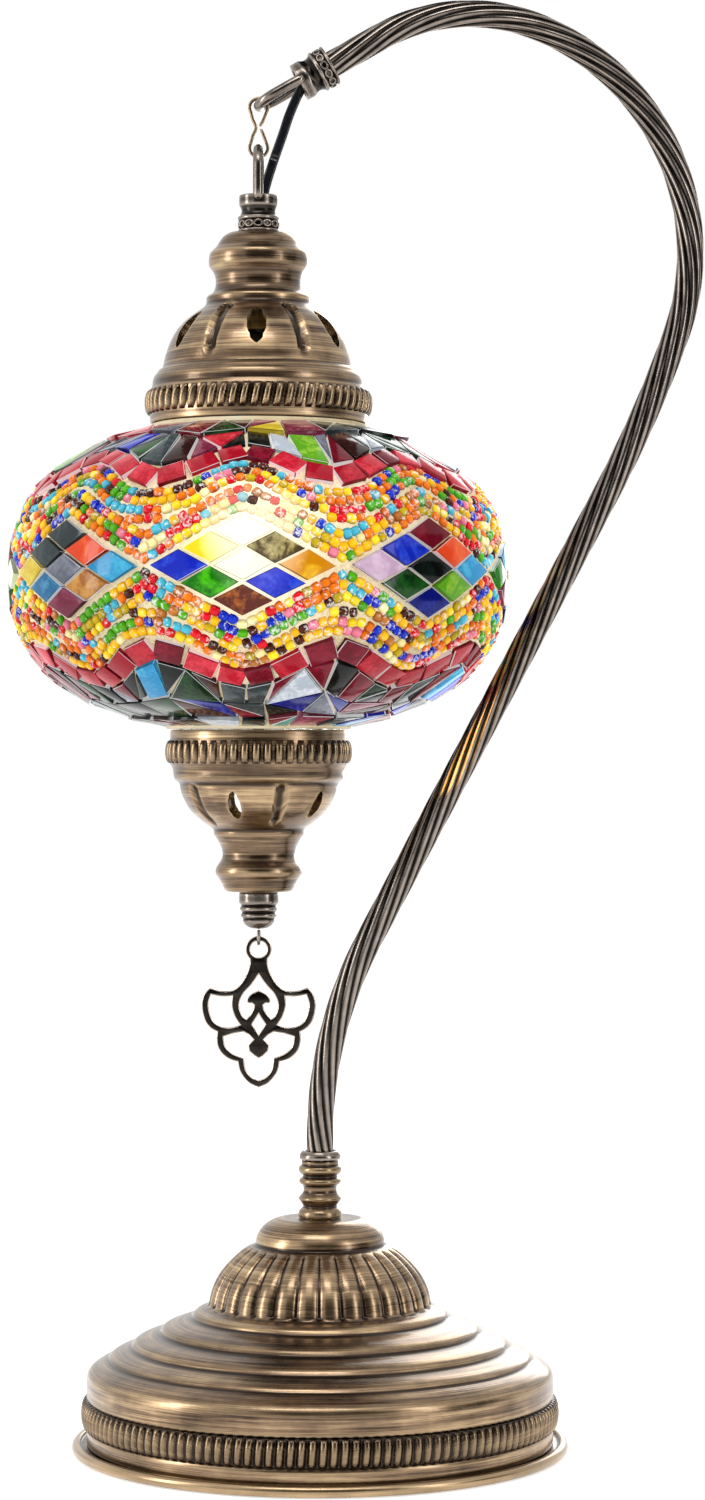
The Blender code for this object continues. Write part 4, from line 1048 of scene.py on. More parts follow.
def bead_rows(side):
    """Return the (line, allowed) pairs of the bead rows on one side of the equator.

    Three rows follow the medallions. The rest follow the border, as far as they keep clear of those.
    """
    def from_medallion(distance):
        return lambda angle: medallion_edge(angle) + MEDALLION_RISE * distance

    def from_border(distance):
        def line(angle):
            turn = math.radians((angle - FRONT - MEDALLION_PHASE) * MEDALLIONS)
            slope = BORDER[side][1] / 2 * math.sin(turn) * MEDALLIONS / BORDER_RADIUS
            return border_line(angle, side) - distance * math.sqrt(1.0 + slope * slope)
        return line

    inner = [from_medallion(1.3 + BEAD_PITCH * (k + 0.5)) for k in range(3)]
    outer = [from_border(BORDER_WIDTH / 2 + 0.3 + BEAD_PITCH * (k + 0.5)) for k in range(8)]
    rows = [(line, lambda angle, at: True) for line in inner]
    rows += [(line, lambda angle, at: at > inner[-1](angle) + BEAD_PITCH * 0.86) for line in outer]
    return rows


def add_beads(side, seed):
    """String seed beads along every row of one half of the bead field."""
    sizes = bpy.context.scene.lamp_sizes
    rng = random.Random(seed)
    into = bmesh.new()
    template = bead_template()
    step = sizes.bead_length / MM * 0.92
    sink = sizes.bead_radius / MM + 0.1
    tint = pick(rng, BEAD_COLOURS)
    for line, allowed in bead_rows(side):
        angle = rng.uniform(0.0, 2.0)
        end = angle + 360.0
        while angle < end - 1.0:
            at = line(angle)
            radius = GLASS.spot(side * at)[0]
            slope = (line(angle + 0.5) - at) / (math.radians(0.5) * radius)
            lean = math.atan(slope)
            move = math.degrees(step * math.cos(lean) / radius)
            if allowed(angle, at):
                if rng.random() > 0.22:
                    tint = pick(rng, BEAD_COLOURS)
                shade = rng.uniform(0.82, 1.08)
                along = side * (at + rng.uniform(-0.3, 0.3))
                place = GLASS.frame(angle, along, sink + rng.uniform(-0.1, 0.35))
                place = place @ Matrix.Rotation(side * lean + rng.uniform(-0.22, 0.22), 4, "Z")
                place = place @ Matrix.Rotation(rng.uniform(-0.12, 0.12), 4, "Y")
                place = place @ Matrix.Rotation(rng.uniform(0.0, 0.7), 4, "X")
                place = place @ Matrix.Diagonal((rng.uniform(0.78, 1.06), rng.uniform(0.88, 1.06), 1.0, 1.0))
                middle = place.translation
                outward = GLASS.frame(angle, side * at).to_3x3().col[2]
                bead = template.copy()
                bmesh.ops.transform(bead, matrix=place, verts=bead.verts)
                layer = bead.loops.layers.float_color["tint"]
                flare = bead.loops.layers.float_color["flare"]
                # Painted shade and highlight: each corner is darker towards the bead's sides and lighter at
                # its crown, and its flare colour whitens towards the crown.
                for face in bead.faces:
                    for loop in face.loops:
                        away = (loop.vert.co - middle).dot(outward) / sizes.bead_radius
                        deep = min(1.0, max(0.0, (away - 0.2) / 0.75)) ** 0.8
                        value = [shade * part ** (2.05 - 0.92 * deep) * (0.12 + 0.98 * deep) for part in tint]
                        loop[layer] = (*value, 1.0)
                        loop[flare] = (*(part + (1.0 - part) * 0.6 * deep * deep for part in value), 1.0)
                join(into, bead)
            angle += move
    template.free()
    return into


# ---------------------------------------------------------------- operators

class LAMP_OT_lead(bpy.types.Operator):
    """Twin flex from the arm's tip to the lampholder, in two lengths"""

    bl_idname = "lamp.lead"
    bl_label = "Lead"

    def execute(self, context):
        black = plastic("flex_plastic", (0.004, 0.005, 0.007), roughness=0.16, grain_scale=0.4)
        route = [Vector(point) for point in smooth_run(*LEAD_POINTS, each=LEAD_STEPS)]
        split = LEAD_SPLIT * LEAD_STEPS
        half = LEAD_WIDTH / 4
        core = arc((half, 0.0), half, -115.0, 115.0, 9)
        section = core + [(-a, -b) for a, b in core]
        pieces = []
        for name, part, nodes in (("lead_upper", route[:split + 1], ("lamp_lead",)),
                                  ("lead_lower", route[split:], ())):
            work = sweep(section, frames_along(part, (0, 1, 0)))
            bmesh.ops.remove_doubles(work, verts=work.verts, dist=0.00001)
            piece = keep(name, work, black, None, *nodes, slot="black_plastic")
            pieces.append((piece, part))
        upper, lower = pieces
        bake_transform(upper[0])
        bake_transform(lower[0])
        return {"FINISHED"}


class LAMP_OT_base(bpy.types.Operator):
    """Stepped base with its rope band and fluted dome, and the bottom pan with a rolled rim"""

    bl_idname = "lamp.base"
    bl_label = "Base"

    def execute(self, context):
        # A slightly darker copy of the brass for the base: painted shade.
        brass = brushed_brass("base_brass", 0.0, brightness=0.94)
        outline = [(76.4, 3.2), (76.4, 8.0), (75.6, 8.6), (75.6, 17.6), (76.4, 18.2), (76.4, 24.6)]
        outline += [(76.2, 25.8), (75.6, 26.9), (74.4, 27.9), (72.6, 29.0), (70.9, 29.8), (69.5, 30.3)]
        outline += [(69.1, 30.7), (68.7, 31.5), (67.9, 32.1), (66.4, 32.8), (64.4, 33.5), (62.3, 34.2)]
        outline += [(61.7, 34.6), (61.2, 35.6), (60.4, 36.4), (58.8, 37.2), (56.4, 37.9), (53.0, 38.7)]
        outline += [(52.3, 39.1), (51.9, 40.2), (51.1, 41.0), (49.5, 41.7), (46.8, 42.6), (42.9, 43.6)]
        outline += [(42.0, 44.0), (41.6, 45.1), (40.9, 45.8), (39.9, 46.4), (38.0, 47.0)]
        outline += smooth_run((37.1, 47.4), (36.5, 48.4), (36.2, 50.0), (35.2, 53.6), (33.2, 57.6),
                              (30.4, 61.2), (26.8, 64.6), (23.8, 66.6), (21.6, 67.3), each=4)
        outline += smooth_run((21.2, 68.2), (20.9, 70.0), (19.6, 72.4), (17.6, 74.4), (15.4, 75.6),
                              (13.4, 76.2), each=4)
        outline += [(4.3, 76.2), (4.3, 74.9), (12.6, 74.9), (20.0, 66.0), (31.0, 56.0), (34.6, 45.0),
                    (59.0, 33.0), (75.2, 24.0), (75.2, 3.2)]
        work = lathe(outline, 300, fine=0.88)

        def flute(angle, radius, height):
            if radius < 12.0 or not 47.0 < height < 67.5 or radius + (height - 47.0) < 33.0:
                return 0.0
            fade = ease(height, 47.2, 48.6) * (1.0 - ease(height, 65.6, 67.2))
            return -1.7 * (1.0 - abs(math.cos(FLUTES * angle / 2)) ** 0.5) * fade

        shift_round(work, 0.0, flute)
        mark_relief(work, gain=1.3, rounds=2)
        keep("base_bowl", work, brass, "stand", "base_shell", slot="antique_brass")
        # A darker copy of the brass for the rope band: painted shade.
        hoop = brushed_brass("hoop_brass", 0.0, brightness=0.6)
        rope = rope_band(ROPE_RIDGES, middle_radius=76.5, low=8.5, high=17.7, proud=1.75, slant=-0.08)
        keep("base_rope", rope, hoop, "stand", slot="antique_brass")
        roll = arc((PLATE_RADIUS - 1.95, 2.2), 1.92, -150.0, 130.0, 14)
        pan = roll + [(79.0, 2.9), (20.5, 2.7), (16.0, 7.2), (4.3, 7.2), (4.3, 6.0), (15.4, 6.0),
                      (19.5, 1.5), (76.4, 1.5)]
        work = lathe(pan, 192, fine=1.2)
        mark_relief(work, gain=1.3, rounds=1)
        keep("base_pan", work, brass, "stand", "base_plate", slot="antique_brass")
        return {"FINISHED"}


class LAMP_OT_stem(bpy.types.Operator):
    """Beaded collar, the dark cup and the twisted swan-neck arm"""

    bl_idname = "lamp.stem"
    bl_label = "Stem"

    def execute(self, context):
        outline = [(4.95, 95.0), (6.2, 95.0)]
        for moulding in (((6.0, 93.6), (6.9, 92.9), (7.1, 91.9), (6.7, 91.0), (5.7, 90.3)),
                         ((5.7, 89.6), (6.6, 89.0), (6.9, 88.2), (6.5, 87.4), (5.6, 86.9)),
                         ((5.5, 86.2), (5.5, 84.8), (6.4, 83.6), (7.1, 82.6), (6.5, 81.6), (5.6, 80.4)),
                         ((5.6, 79.8), (6.5, 79.0), (7.1, 77.9), (7.1, 76.5))):
            outline += smooth_run(*moulding, each=4)
        outline += [(4.3, 76.5), (4.3, 86.0), (3.2, 86.0), (3.2, 88.2), (4.95, 88.2)]
        work = lathe(outline, 48, fine=0.5)
        mark_relief(work, gain=1.6, rounds=2)
        # A darker copy of the brass for the collar: painted shade.
        brass = brushed_brass("collar_brass", 0.0, brightness=0.6)
        keep("collar", work, brass, "stand", "stem_collar", slot="antique_brass")
        gunmetal = dark_metal("cast_gunmetal")
        cup = [(4.95, 98.2), (5.9, 98.2), (6.3, 97.6), (6.8, 96.6), (6.8, 95.4), (4.95, 95.4)]
        work = lathe(cup, 48, fine=0.4)
        mark_relief(work, gain=1.0, rounds=1)
        keep("foot_cup", work, gunmetal, "stand", "foot_ferrule", slot="dark_gunmetal")
        path = arm_path(1.2)
        route = [(x, 0.0, z) for x, z, _ in path]
        run, turn = 0.0, []
        for index, point in enumerate(route):
            if index:
                run += (Vector(point) - Vector(route[index - 1])).length
            turn.append(-math.tau * run / STRAND_LEAD)
        sides = 10 * STRAND_COUNT
        section = []
        for k in range(sides):
            angle = math.tau * k / sides
            crest = abs(math.cos(STRAND_COUNT * angle / 2)) ** 0.75
            radius = ARM_VALLEY_RADIUS + (ARM_RADIUS - ARM_VALLEY_RADIUS) * crest
            section.append((radius * math.cos(angle), radius * math.sin(angle)))
        work = sweep(section, frames_along(route, (0, 1, 0), turn))
        tree = KDTree(len(route))
        for index, point in enumerate(route):
            tree.insert(Vector(point) * MM, index)
        tree.balance()
        # Strand crests are marked raised and valleys sunk, so the arm is lighter on the strands, partly as
        # painted highlight, and darker between them, partly as painted shade.
        layer = work.verts.layers.float.new("relief")
        for vert in work.verts:
            away = tree.find(vert.co)[2] / MM
            vert[layer] = min(1.0, max(0.0, (away - ARM_VALLEY_RADIUS) / (ARM_RADIUS - ARM_VALLEY_RADIUS)))
        gunmetal = dark_metal("arm_gunmetal", spread=0.95)
        keep("arm", work, gunmetal, "stand", "twisted_arm", slot="dark_gunmetal")
        return {"FINISHED"}


def cast_ferrule(socket, socket_depth):
    """Cast ferrule with a chain round it and a bail of wire.

    Its mouth is at height 0, its bail rises above it, and the socket below takes the arm or the cap's tube.
    """
    bore = 4.9
    foot = -FERRULE_LENGTH
    outline = [(bore, 0.0), (FERRULE_MOUTH, 0.0), (FERRULE_MOUTH, -3.2)]
    outline += smooth_run((5.9, -4.0), (5.6, -5.2), (6.0, -6.6), each=3)
    outline += [(6.9, -7.2), (6.9, -7.9), (6.3, -8.3), (6.3, -11.0), (6.9, -11.4), (6.9, -11.9), (6.5, foot),
                (socket, foot), (socket, foot + socket_depth), (3.0, foot + socket_depth),
                (bore, foot + socket_depth + 2.4)]
    work = lathe(outline, 60, fine=0.45)
    mark_relief(work, gain=1.6, rounds=1)
    chain = bmesh.new()
    oval = [(1.3 * math.cos(math.radians(a)), 0.0, math.sin(math.radians(a))) for a in range(0, 361, 30)]
    outwards = Matrix.Translation((0.0, -6.35 * MM, -9.65 * MM))
    for index in range(CHAIN_RINGS):
        ring = rod(oval, radius=0.36, across=(0, 1, 0), sides=8)
        place = Matrix.Rotation(math.tau * index / CHAIN_RINGS, 4, "Z") @ outwards
        bmesh.ops.transform(ring, matrix=place, verts=ring.verts)
        join(chain, ring)
    mark_relief(chain, gain=0.6, rounds=1)
    shoulder = BAIL_REACH - BAIL_HALF_WIDTH
    legs = [(-BAIL_HALF_WIDTH, -2.0), (-BAIL_HALF_WIDTH, 2.4), (-BAIL_HALF_WIDTH, 5.6)]
    bow = arc((0.0, shoulder), BAIL_HALF_WIDTH, 180.0, 0.0, 20)
    legs = legs + bow + [(-y, z) for y, z in reversed(legs)]
    bail = rod([(0.0, y, z) for y, z in legs], BAIL_WIRE, across=(1, 0, 0), sides=16)
    mark_relief(bail, gain=0.6, rounds=1)
    return join(work, chain, bail)


class LAMP_OT_hanger(bpy.types.Operator):
    """Cast ferrules with their bails, and the open link between them"""

    bl_idname = "lamp.hanger"
    bl_label = "Hanger"

    def execute(self, context):
        gunmetal = dark_metal("hanger_gunmetal", spread=0.9)
        tip = cast_ferrule(socket=ARM_RADIUS + GAP, socket_depth=SOCKET_DEPTH + GAP)
        mouth = LEAD_TIP + TIP_OUT * (FERRULE_LENGTH - SOCKET_DEPTH)
        place = Matrix.Translation(mouth * MM) @ Matrix.Rotation(TIP_LEAN, 4, "Y")
        bmesh.ops.transform(tip, matrix=place, verts=tip.verts)
        keep("arm_ferrule", tip, gunmetal, "stand", "tip_ferrule", slot="dark_gunmetal")
        top = cast_ferrule(socket=4.3, socket_depth=6.0)
        bmesh.ops.translate(top, vec=(SHADE_X * MM, 0.0, SHADE_MOUTH * MM), verts=top.verts)
        keep("top_ferrule", top, gunmetal, "shade", "shade_ferrule", slot="dark_gunmetal")
        reach = BAIL_WIRE + GAP + LINK_WIRE
        high = reach - LOOP_RADIUS
        low = -LINK_DROP - reach + LOOP_RADIUS
        middle = (high + low) / 2
        upper = arc((0.0, high), LOOP_RADIUS, -28.0, 208.0, 18)
        lower = arc((0.0, low), LOOP_RADIUS, 152.0, 388.0, 18)
        waist = smooth_run((-1.9, middle + 2.6), (-0.9, middle), (-1.9, middle - 2.6), each=5)
        route = [(0.3, middle + 0.5), (1.2, middle + 1.8)] + upper + waist
        route += lower + [(1.4, middle - 1.9), (0.7, middle - 0.4)]
        route = [(x + CROWN.x, 0.0, z + CROWN.z) for x, z in route]
        wire = rod(route, LINK_WIRE, across=(0, 1, 0), sides=10)
        mark_relief(wire, gain=0.6, rounds=1)
        # A darker copy of the brass for the link: painted shade.
        brass = brushed_brass("link_brass", CROWN.x, brightness=0.75)
        keep("open_link", wire, brass, "link", "hanging_link", slot="antique_brass")
        return {"FINISHED"}


def slot_cutters(count, first, length, width, height, radius, lean):
    """Ring of ornamental slots: pointed at both ends, with a step in each flank."""
    right = smooth_run((0.0, 0.5), (0.2, 0.44), (0.33, 0.37), each=3) + [(0.36, 0.28)]
    right += smooth_run((0.42, 0.24), (0.5, 0.13), (0.5, 0.0), each=3)
    half = right + [(a, -b) for a, b in reversed(right[:-1])]
    shape = half + [(-a, b) for a, b in reversed(half[1:-1])]
    tools = bmesh.new()
    middle = Matrix.Translation((SHADE_X * MM, 0.0, 0.0))
    outwards = Matrix.Translation((0.0, -radius * MM, height * MM))
    tip = Matrix.Rotation(math.radians(lean), 4, "X")
    for index in range(count):
        single = bmesh.new()
        ring = [single.verts.new((a * width * MM, -CUTTER_DEPTH / 2 * MM, b * length * MM)) for a, b in shape]
        face = single.faces.new(ring)
        made = bmesh.ops.extrude_face_region(single, geom=[face], use_keep_orig=True)["geom"]
        back = [item for item in made if isinstance(item, bmesh.types.BMVert)]
        bmesh.ops.translate(single, vec=(0, CUTTER_DEPTH * MM, 0), verts=back)
        bmesh.ops.recalc_face_normals(single, faces=single.faces)
        turn = math.radians(first + 360.0 * index / count + 90.0)
        place = middle @ Matrix.Rotation(turn, 4, "Z") @ outwards @ tip
        bmesh.ops.transform(single, matrix=place, verts=single.verts)
        join(tools, single)
    return tools


def groove_move(count, first, half_width, depth, low, high):
    """Return the inward move of pressed grooves with pointed ends."""
    def move(angle, radius, height):
        share = 360.0 / count
        offset = (math.degrees(angle) - first + share / 2) % share - share / 2
        up = (height - low) / (high - low)
        if not 0.0 < up < 1.0:
            return 0.0
        ends = min(1.0, 5.0 * up, 14.0 * (1.0 - up))
        reach = half_width * ends ** 0.5
        across = abs(math.radians(offset)) * radius
        if reach <= 0.0 or across >= reach:
            return 0.0
        return -depth * (1.0 - (across / reach) ** 2) ** 0.6 * ends
    return move


def pierced_cap(outline, grooves, slots):
    """Spin a cap of the shade, press its grooves and cut its slots."""
    work = lathe(outline, 240, SHADE_X, fine=0.8)
    shift_round(work, SHADE_X, grooves)
    work = cut(work, slots)
    bmesh.ops.remove_doubles(work, verts=work.verts, dist=0.00002)
    mark_relief(work, gain=1.0, rounds=2)
    return work


class LAMP_OT_caps(bpy.types.Operator):
    """Spun top and bottom caps with pierced slots, pressed grooves and rope bands"""

    bl_idname = "lamp.caps"
    bl_label = "Caps"

    def execute(self, context):
        # A darker copy of the brass for the caps: painted shade.
        brass = brushed_brass("cap_brass", SHADE_X, brightness=0.85)
        top = CAP_TOP
        outline = [(4.3, top), (10.2, top), (12.0, 397.6), (13.0, 396.0), (13.8, 394.6), (15.2, 393.2),
                   (15.9, 392.6), (16.2, 391.8), (16.4, 390.2), (16.3, 388.4), (15.9, 387.6), (15.2, 386.8),
                   (14.5, 385.6), (14.1, 384.0), (14.1, 381.8), (14.6, 380.0), (15.6, 378.8), (16.8, 378.4),
                   (17.2, 377.8), (17.1, 376.9), (17.2, 375.6), (17.6, 375.1)]
        outline += smooth_run((18.6, 374.2), (21.6, 372.1), (24.6, 369.7), (27.0, 366.8), (29.0, 363.2),
                              (30.5, 359.0), (31.3, 355.6), (31.6, 354.6), each=5)
        outline += [(32.0, 354.2), (32.9, 353.8), (33.2, 353.2), (33.3, 352.7), (33.9, 352.4), (34.5, 351.4),
                    (34.8, 350.0), (34.9, 348.4), (35.4, 347.8), (35.8, 347.2), (35.8, 338.9), (35.6, 338.6),
                    (35.6, 336.5), (34.4, 336.5), (34.4, 345.4), (31.4, 349.6), (29.4, 357.0), (27.0, 362.8),
                    (22.6, 368.2), (12.2, 379.0), (12.2, 391.0), (9.2, top - 1.8), (4.3, top - 1.8)]
        grooves = groove_move(6, 0.0, half_width=2.3, depth=2.1, low=356.0, high=374.8)
        slots = slot_cutters(6, FRONT, length=15.6, width=6.2, height=366.8, radius=26.4, lean=-34.0)
        work = pierced_cap(outline, grooves, slots)
        keep("crown_cap", work, brass, "shade", "top_cap", slot="antique_brass", flat=40)
        # A darker copy of the brass for the caps' rope bands: painted shade.
        braid = brushed_brass("braid_brass", SHADE_X, brightness=0.75)
        rope = rope_band(CROWN_RIDGES, middle_radius=35.7, low=339.2, high=347.2, proud=1.7, x=SHADE_X,
                         slant=-0.2, depth=1.6, steps=12)
        keep("crown_rope", rope, braid, "shade", slot="antique_brass")
        foot = CAP_FOOT
        outline = [(29.0, 236.2), (29.0, 233.4), (29.2, 232.6), (29.2, 225.4), (28.6, 224.4), (28.1, 223.4),
                   (28.0, 222.0), (27.9, 220.6), (27.4, 219.8), (26.4, 219.2), (25.9, 218.6)]
        outline += smooth_run((25.8, 217.4), (25.4, 215.6), (24.4, 213.2), (22.8, 210.4), (20.6, 208.0),
                              (18.0, 205.9), (15.8, 204.4), each=4)
        outline += [(15.0, 203.8), (14.7, 203.2), (14.8, 202.4), (14.5, 201.5)]
        outline += smooth_run((13.8, 200.6), (12.8, 198.8), (12.0, 196.8), (11.9, 195.0), (12.4, 193.4),
                              (13.0, 192.6), each=3)
        outline += [(13.3, 192.1), (13.9, 191.3), (14.2, 190.3), (14.2, 189.2), (13.8, 188.3), (13.2, 187.8),
                    (12.8, 187.0), (11.9, 185.4), (11.4, 184.2), (10.8, foot), (2.4, foot), (2.4, 184.4),
                    (8.8, 185.8), (9.6, 196.0), (12.0, 203.2), (19.6, 210.2), (25.0, 220.6), (27.4, 227.0),
                    (27.6, 236.2)]
        grooves = groove_move(5, FRONT + 18.0, half_width=2.1, depth=1.6, low=204.5, high=218.4)
        slots = slot_cutters(5, FRONT - 18.0, length=10.8, width=4.2, height=211.6, radius=23.0, lean=30.0)
        work = pierced_cap(outline, grooves, slots)
        keep("foot_cap", work, brass, "shade", "bottom_cap", slot="antique_brass", flat=40)
        rope = rope_band(FOOT_RIDGES, middle_radius=29.0, low=225.2, high=232.8, proud=1.7, x=SHADE_X,
                         slant=-0.04, steps=12)
        keep("foot_rope", rope, braid, "shade", slot="antique_brass")
        return {"FINISHED"}


class LAMP_OT_mosaic(bpy.types.Operator):
    """Cut glass tiles in their medallions, borders and outer rows"""

    bl_idname = "lamp.mosaic"
    bl_label = "Mosaic tiles"

    def execute(self, context):
        glass = lit_glass("sheet_glass", gloss=0.06, body=0.34, shine=0.52, hot_reach=18.0, flecks=0.3)
        rng = random.Random(11)
        work = bmesh.new()
        add_medallion_tiles(work, rng)
        keep("medallions", work, glass, "shade", "mosaic_shell", slot="mosaic_glass", flat=40)
        edge = lit_glass("border_glass", gloss=0.06, body=0.26, shine=0.66, hot_reach=14.0)
        for side, name in ((1, "upper"), (-1, "lower")):
            work = bmesh.new()
            add_border_tiles(work, rng, side)
            keep(name + "_border", work, edge, "shade", slot="mosaic_glass", flat=40)
            work = bmesh.new()
            add_outer_tiles(work, rng, side)
            keep(name + "_pieces", work, edge, "shade", slot="mosaic_glass", flat=40)
        return {"FINISHED"}


class LAMP_OT_beads(bpy.types.Operator):
    """Rows of seed beads between the medallions and the borders"""

    bl_idname = "lamp.beads"
    bl_label = "Seed beads"

    def execute(self, context):
        # The bead glass's flecks of whitened flare colour are painted glints.
        glass = lit_glass("bead_glass", gloss=0.08, body=0.34, shine=0.76, hot_reach=18.0, hot_power=0.8,
                          flecks=2.0, low=0.61, high=0.80)
        for side, name, seed in ((1, "upper_beads", 5), (-1, "lower_beads", 8)):
            keep(name, add_beads(side, seed), glass, "shade", slot="mosaic_glass")
        return {"FINISHED"}


class LAMP_OT_grout(bpy.types.Operator):
    """Grout bed under the glass, and the lips at both openings"""

    bl_idname = "lamp.grout"
    bl_label = "Grout"

    def execute(self, context):
        def run(first, last, count, sink):
            """Return points sunk under the face, from one distance up it to another."""
            points = []
            for k in range(count + 1):
                radius, height, tangent = GLASS.spot(first + (last - first) * k / count)
                points.append((radius - tangent.y * sink, height + tangent.x * sink))
            return points

        outer = run(TOP_EDGE - 0.5, LOW_EDGE + 0.5, count=70, sink=1.45)
        inner = run(LOW_EDGE + 2.0, TOP_EDGE - 2.0, count=24, sink=3.4)
        work = lathe(outer + inner, 240, SHADE_X)
        for vert in work.verts:
            spot = vert.co / MM
            away = Vector((spot.x - SHADE_X, spot.y, spot.z - GLOBE_MIDDLE)).normalized()
            vert.co += away * noise.noise(spot * 0.55) * 0.28 * MM
        keep("grout_bed", work, grout_paste("grout"), "shade", slot="mosaic_glass")
        paste = grout_paste("lip_grout", lines=True)
        radius, height, _ = GLASS.spot(TOP_EDGE)
        upper = [(radius - 2.2, height - 3.4), (radius - 0.4, height - 0.9), (radius - 1.0, 336.2),
                 (34.0, 336.2), (34.0, 331.0)]
        radius, height, _ = GLASS.spot(LOW_EDGE)
        lower = [(radius - 3.4, height + 3.8), (27.4, 241.0), (27.4, 236.5), (radius - 0.6, 236.5),
                 (radius + 0.2, height + 0.8)]
        for name, lip in (("upper_lip", upper), ("lower_lip", lower)):
            work = lathe(lip, 120, SHADE_X, fine=0.6)
            keep(name, work, paste, "shade", slot="mosaic_glass")
        return {"FINISHED"}


def mirrored(half):
    """Close a right-hand outline, which starts and ends on the middle line, with its mirror."""
    return list(half) + [(-x, z) for x, z in reversed(half) if abs(x) > 0.01]


def bowed(*points):
    """Return a smooth run through a few points of an outline, without its last point."""
    return smooth_run(*points, each=5)[:-1]


class LAMP_OT_charm(bpy.types.Operator):
    """Finial nut, its wire eye and the openwork pendant"""

    bl_idname = "lamp.charm"
    bl_label = "Pendant"

    def execute(self, context):
        gunmetal = dark_metal("charm_gunmetal", spread=0.9)
        outline = [(2.3, 182.9), (6.4, 182.9), (6.5, 179.4)]
        outline += smooth_run((5.6, 178.6), (6.3, 177.5), (5.5, 176.6), each=4)
        outline += smooth_run((5.4, 176.2), (6.0, 175.3), (5.1, 174.3), each=4)
        outline += smooth_run((5.2, 173.4), (4.4, 172.2), (3.0, 171.3), (1.2, 170.9), each=3)
        outline += [(1.2, 174.2), (2.3, 174.2)]
        work = lathe(outline, 40, SHADE_X, fine=0.5)
        mark_relief(work, gain=1.6, rounds=1)
        keep("finial_nut", work, gunmetal, "shade", "finial", slot="dark_gunmetal")
        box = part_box("pendant_eye")
        wire, radius, leg = 0.6, 2.4, 2.15
        low = box[0].z / MM + wire + radius
        bow = arc((0.0, low), radius, 180.0, 360.0, 16)
        bend = [(-radius, low + leg)] + bow + [(radius, low + leg)]
        eye = rod([(SHADE_X, y, z) for y, z in bend], wire, across=(1, 0, 0), sides=10)
        mark_relief(eye, gain=0.6, rounds=1)
        keep("wire_eye", eye, gunmetal, "shade", "pendant_eye", slot="dark_gunmetal")
        self.palmette()
        return {"FINISHED"}

    def palmette(self):
        """Cut the pendant out of sheet and round its edges over."""
        outer = arc((0.0, 0.0), 4.3, 90.0, -46.0, 12)
        outer += bowed((2.9, -4.6), (3.8, -7.8), (6.0, -11.5), (8.6, -13.5), (12.6, -13.7), (16.0, -12.6))
        outer += bowed((16.0, -12.6), (17.9, -14.8), (18.7, -18.4), (17.8, -23.0), (15.9, -25.7),
                       (13.6, -27.0))
        outer += bowed((13.6, -27.0), (13.8, -29.8), (12.9, -33.1), (10.4, -35.6), (6.9, -36.8))
        outer += bowed((6.9, -36.8), (6.0, -40.4), (3.3, -43.7), (0.0, -45.2)) + [(0.0, -45.2)]
        hole = arc((0.0, 0.0), 2.8, 0.0, 345.0, 23)
        side = bowed((8.7, -15.3), (12.1, -15.4), (15.6, -14.8))
        side += bowed((15.6, -14.8), (16.5, -18.4), (15.2, -23.2), (12.6, -25.3), (9.3, -25.7), (6.1, -24.8))
        side += bowed((6.1, -24.8), (7.9, -22.0), (8.9, -18.4), (8.7, -15.3))
        arch = bowed((0.0, -8.2), (2.3, -11.5), (5.2, -14.8), (6.4, -18.4), (5.4, -21.8), (4.0, -23.0))
        arch += [(4.0, -23.0), (2.6, -21.3), (1.7, -19.6), (1.5, -18.3)]
        arch += bowed((2.3, -17.6), (3.6, -17.5), (3.7, -16.2), (2.4, -14.7), (0.0, -13.5)) + [(0.0, -13.5)]
        diamond = [(0.0, -21.2), (2.2, -24.6), (0.0, -28.2)]
        foot = bowed((0.0, -43.0), (2.4, -42.0), (4.2, -39.6), (4.9, -35.7))
        foot += bowed((4.9, -35.7), (8.4, -34.4), (10.9, -32.0), (11.6, -28.6))
        foot += [(11.6, -28.6), (8.2, -27.5), (5.0, -27.0), (3.2, -28.0), (1.7, -29.6), (3.5, -31.4),
                 (3.1, -33.4), (1.4, -34.9), (0.0, -35.6)]
        curve = bpy.data.curves.new("palmette", "CURVE")
        curve.dimensions = "2D"
        curve.fill_mode = "BOTH"
        curve.extrude = 0.38 * MM
        curve.bevel_depth = 0.42 * MM
        curve.bevel_resolution = 2
        curve.offset = -0.36 * MM
        for outline in (mirrored(outer), hole, side, [(-x, z) for x, z in side], mirrored(arch),
                        mirrored(diamond), mirrored(foot)):
            spline = curve.splines.new("POLY")
            spline.points.add(len(outline) - 1)
            for point, (across, up) in zip(spline.points, outline):
                point.co = (across * MM, up * MM, 0.0, 1.0)
            spline.use_cyclic_u = True
        blank = bpy.data.objects.new("palmette", curve)
        bpy.context.scene.collection.objects.link(blank)
        mesh = bpy.data.meshes.new_from_object(blank.evaluated_get(bpy.context.evaluated_depsgraph_get()))
        bpy.data.objects.remove(blank)
        bpy.data.curves.remove(curve)
        work = bmesh.new()
        work.from_mesh(mesh)
        bpy.data.meshes.remove(mesh)
        bmesh.ops.remove_doubles(work, verts=work.verts, dist=0.000005)
        ring = Matrix.Translation((SHADE_X * MM, 0.0, PENDANT_RING * MM))
        place = ring @ Matrix.Rotation(math.radians(90.0), 4, "X")
        bmesh.ops.transform(work, matrix=place, verts=work.verts)
        # Rounded edges are marked fully raised and the faces flat, so the edges take the bright colour, made
        # brighter still by rim: painted highlight on the bevels.
        layer = work.verts.layers.float.new("relief")
        for vert in work.verts:
            on_face = abs(vert.co.y) / MM > 0.78
            vert[layer] = 0.5 if on_face else 1.0
        material = dark_metal("sheet_gunmetal", spread=0.95, rim=2.2)
        keep("palmette", work, material, "pendant", "pendant", slot="dark_gunmetal", flat=50)


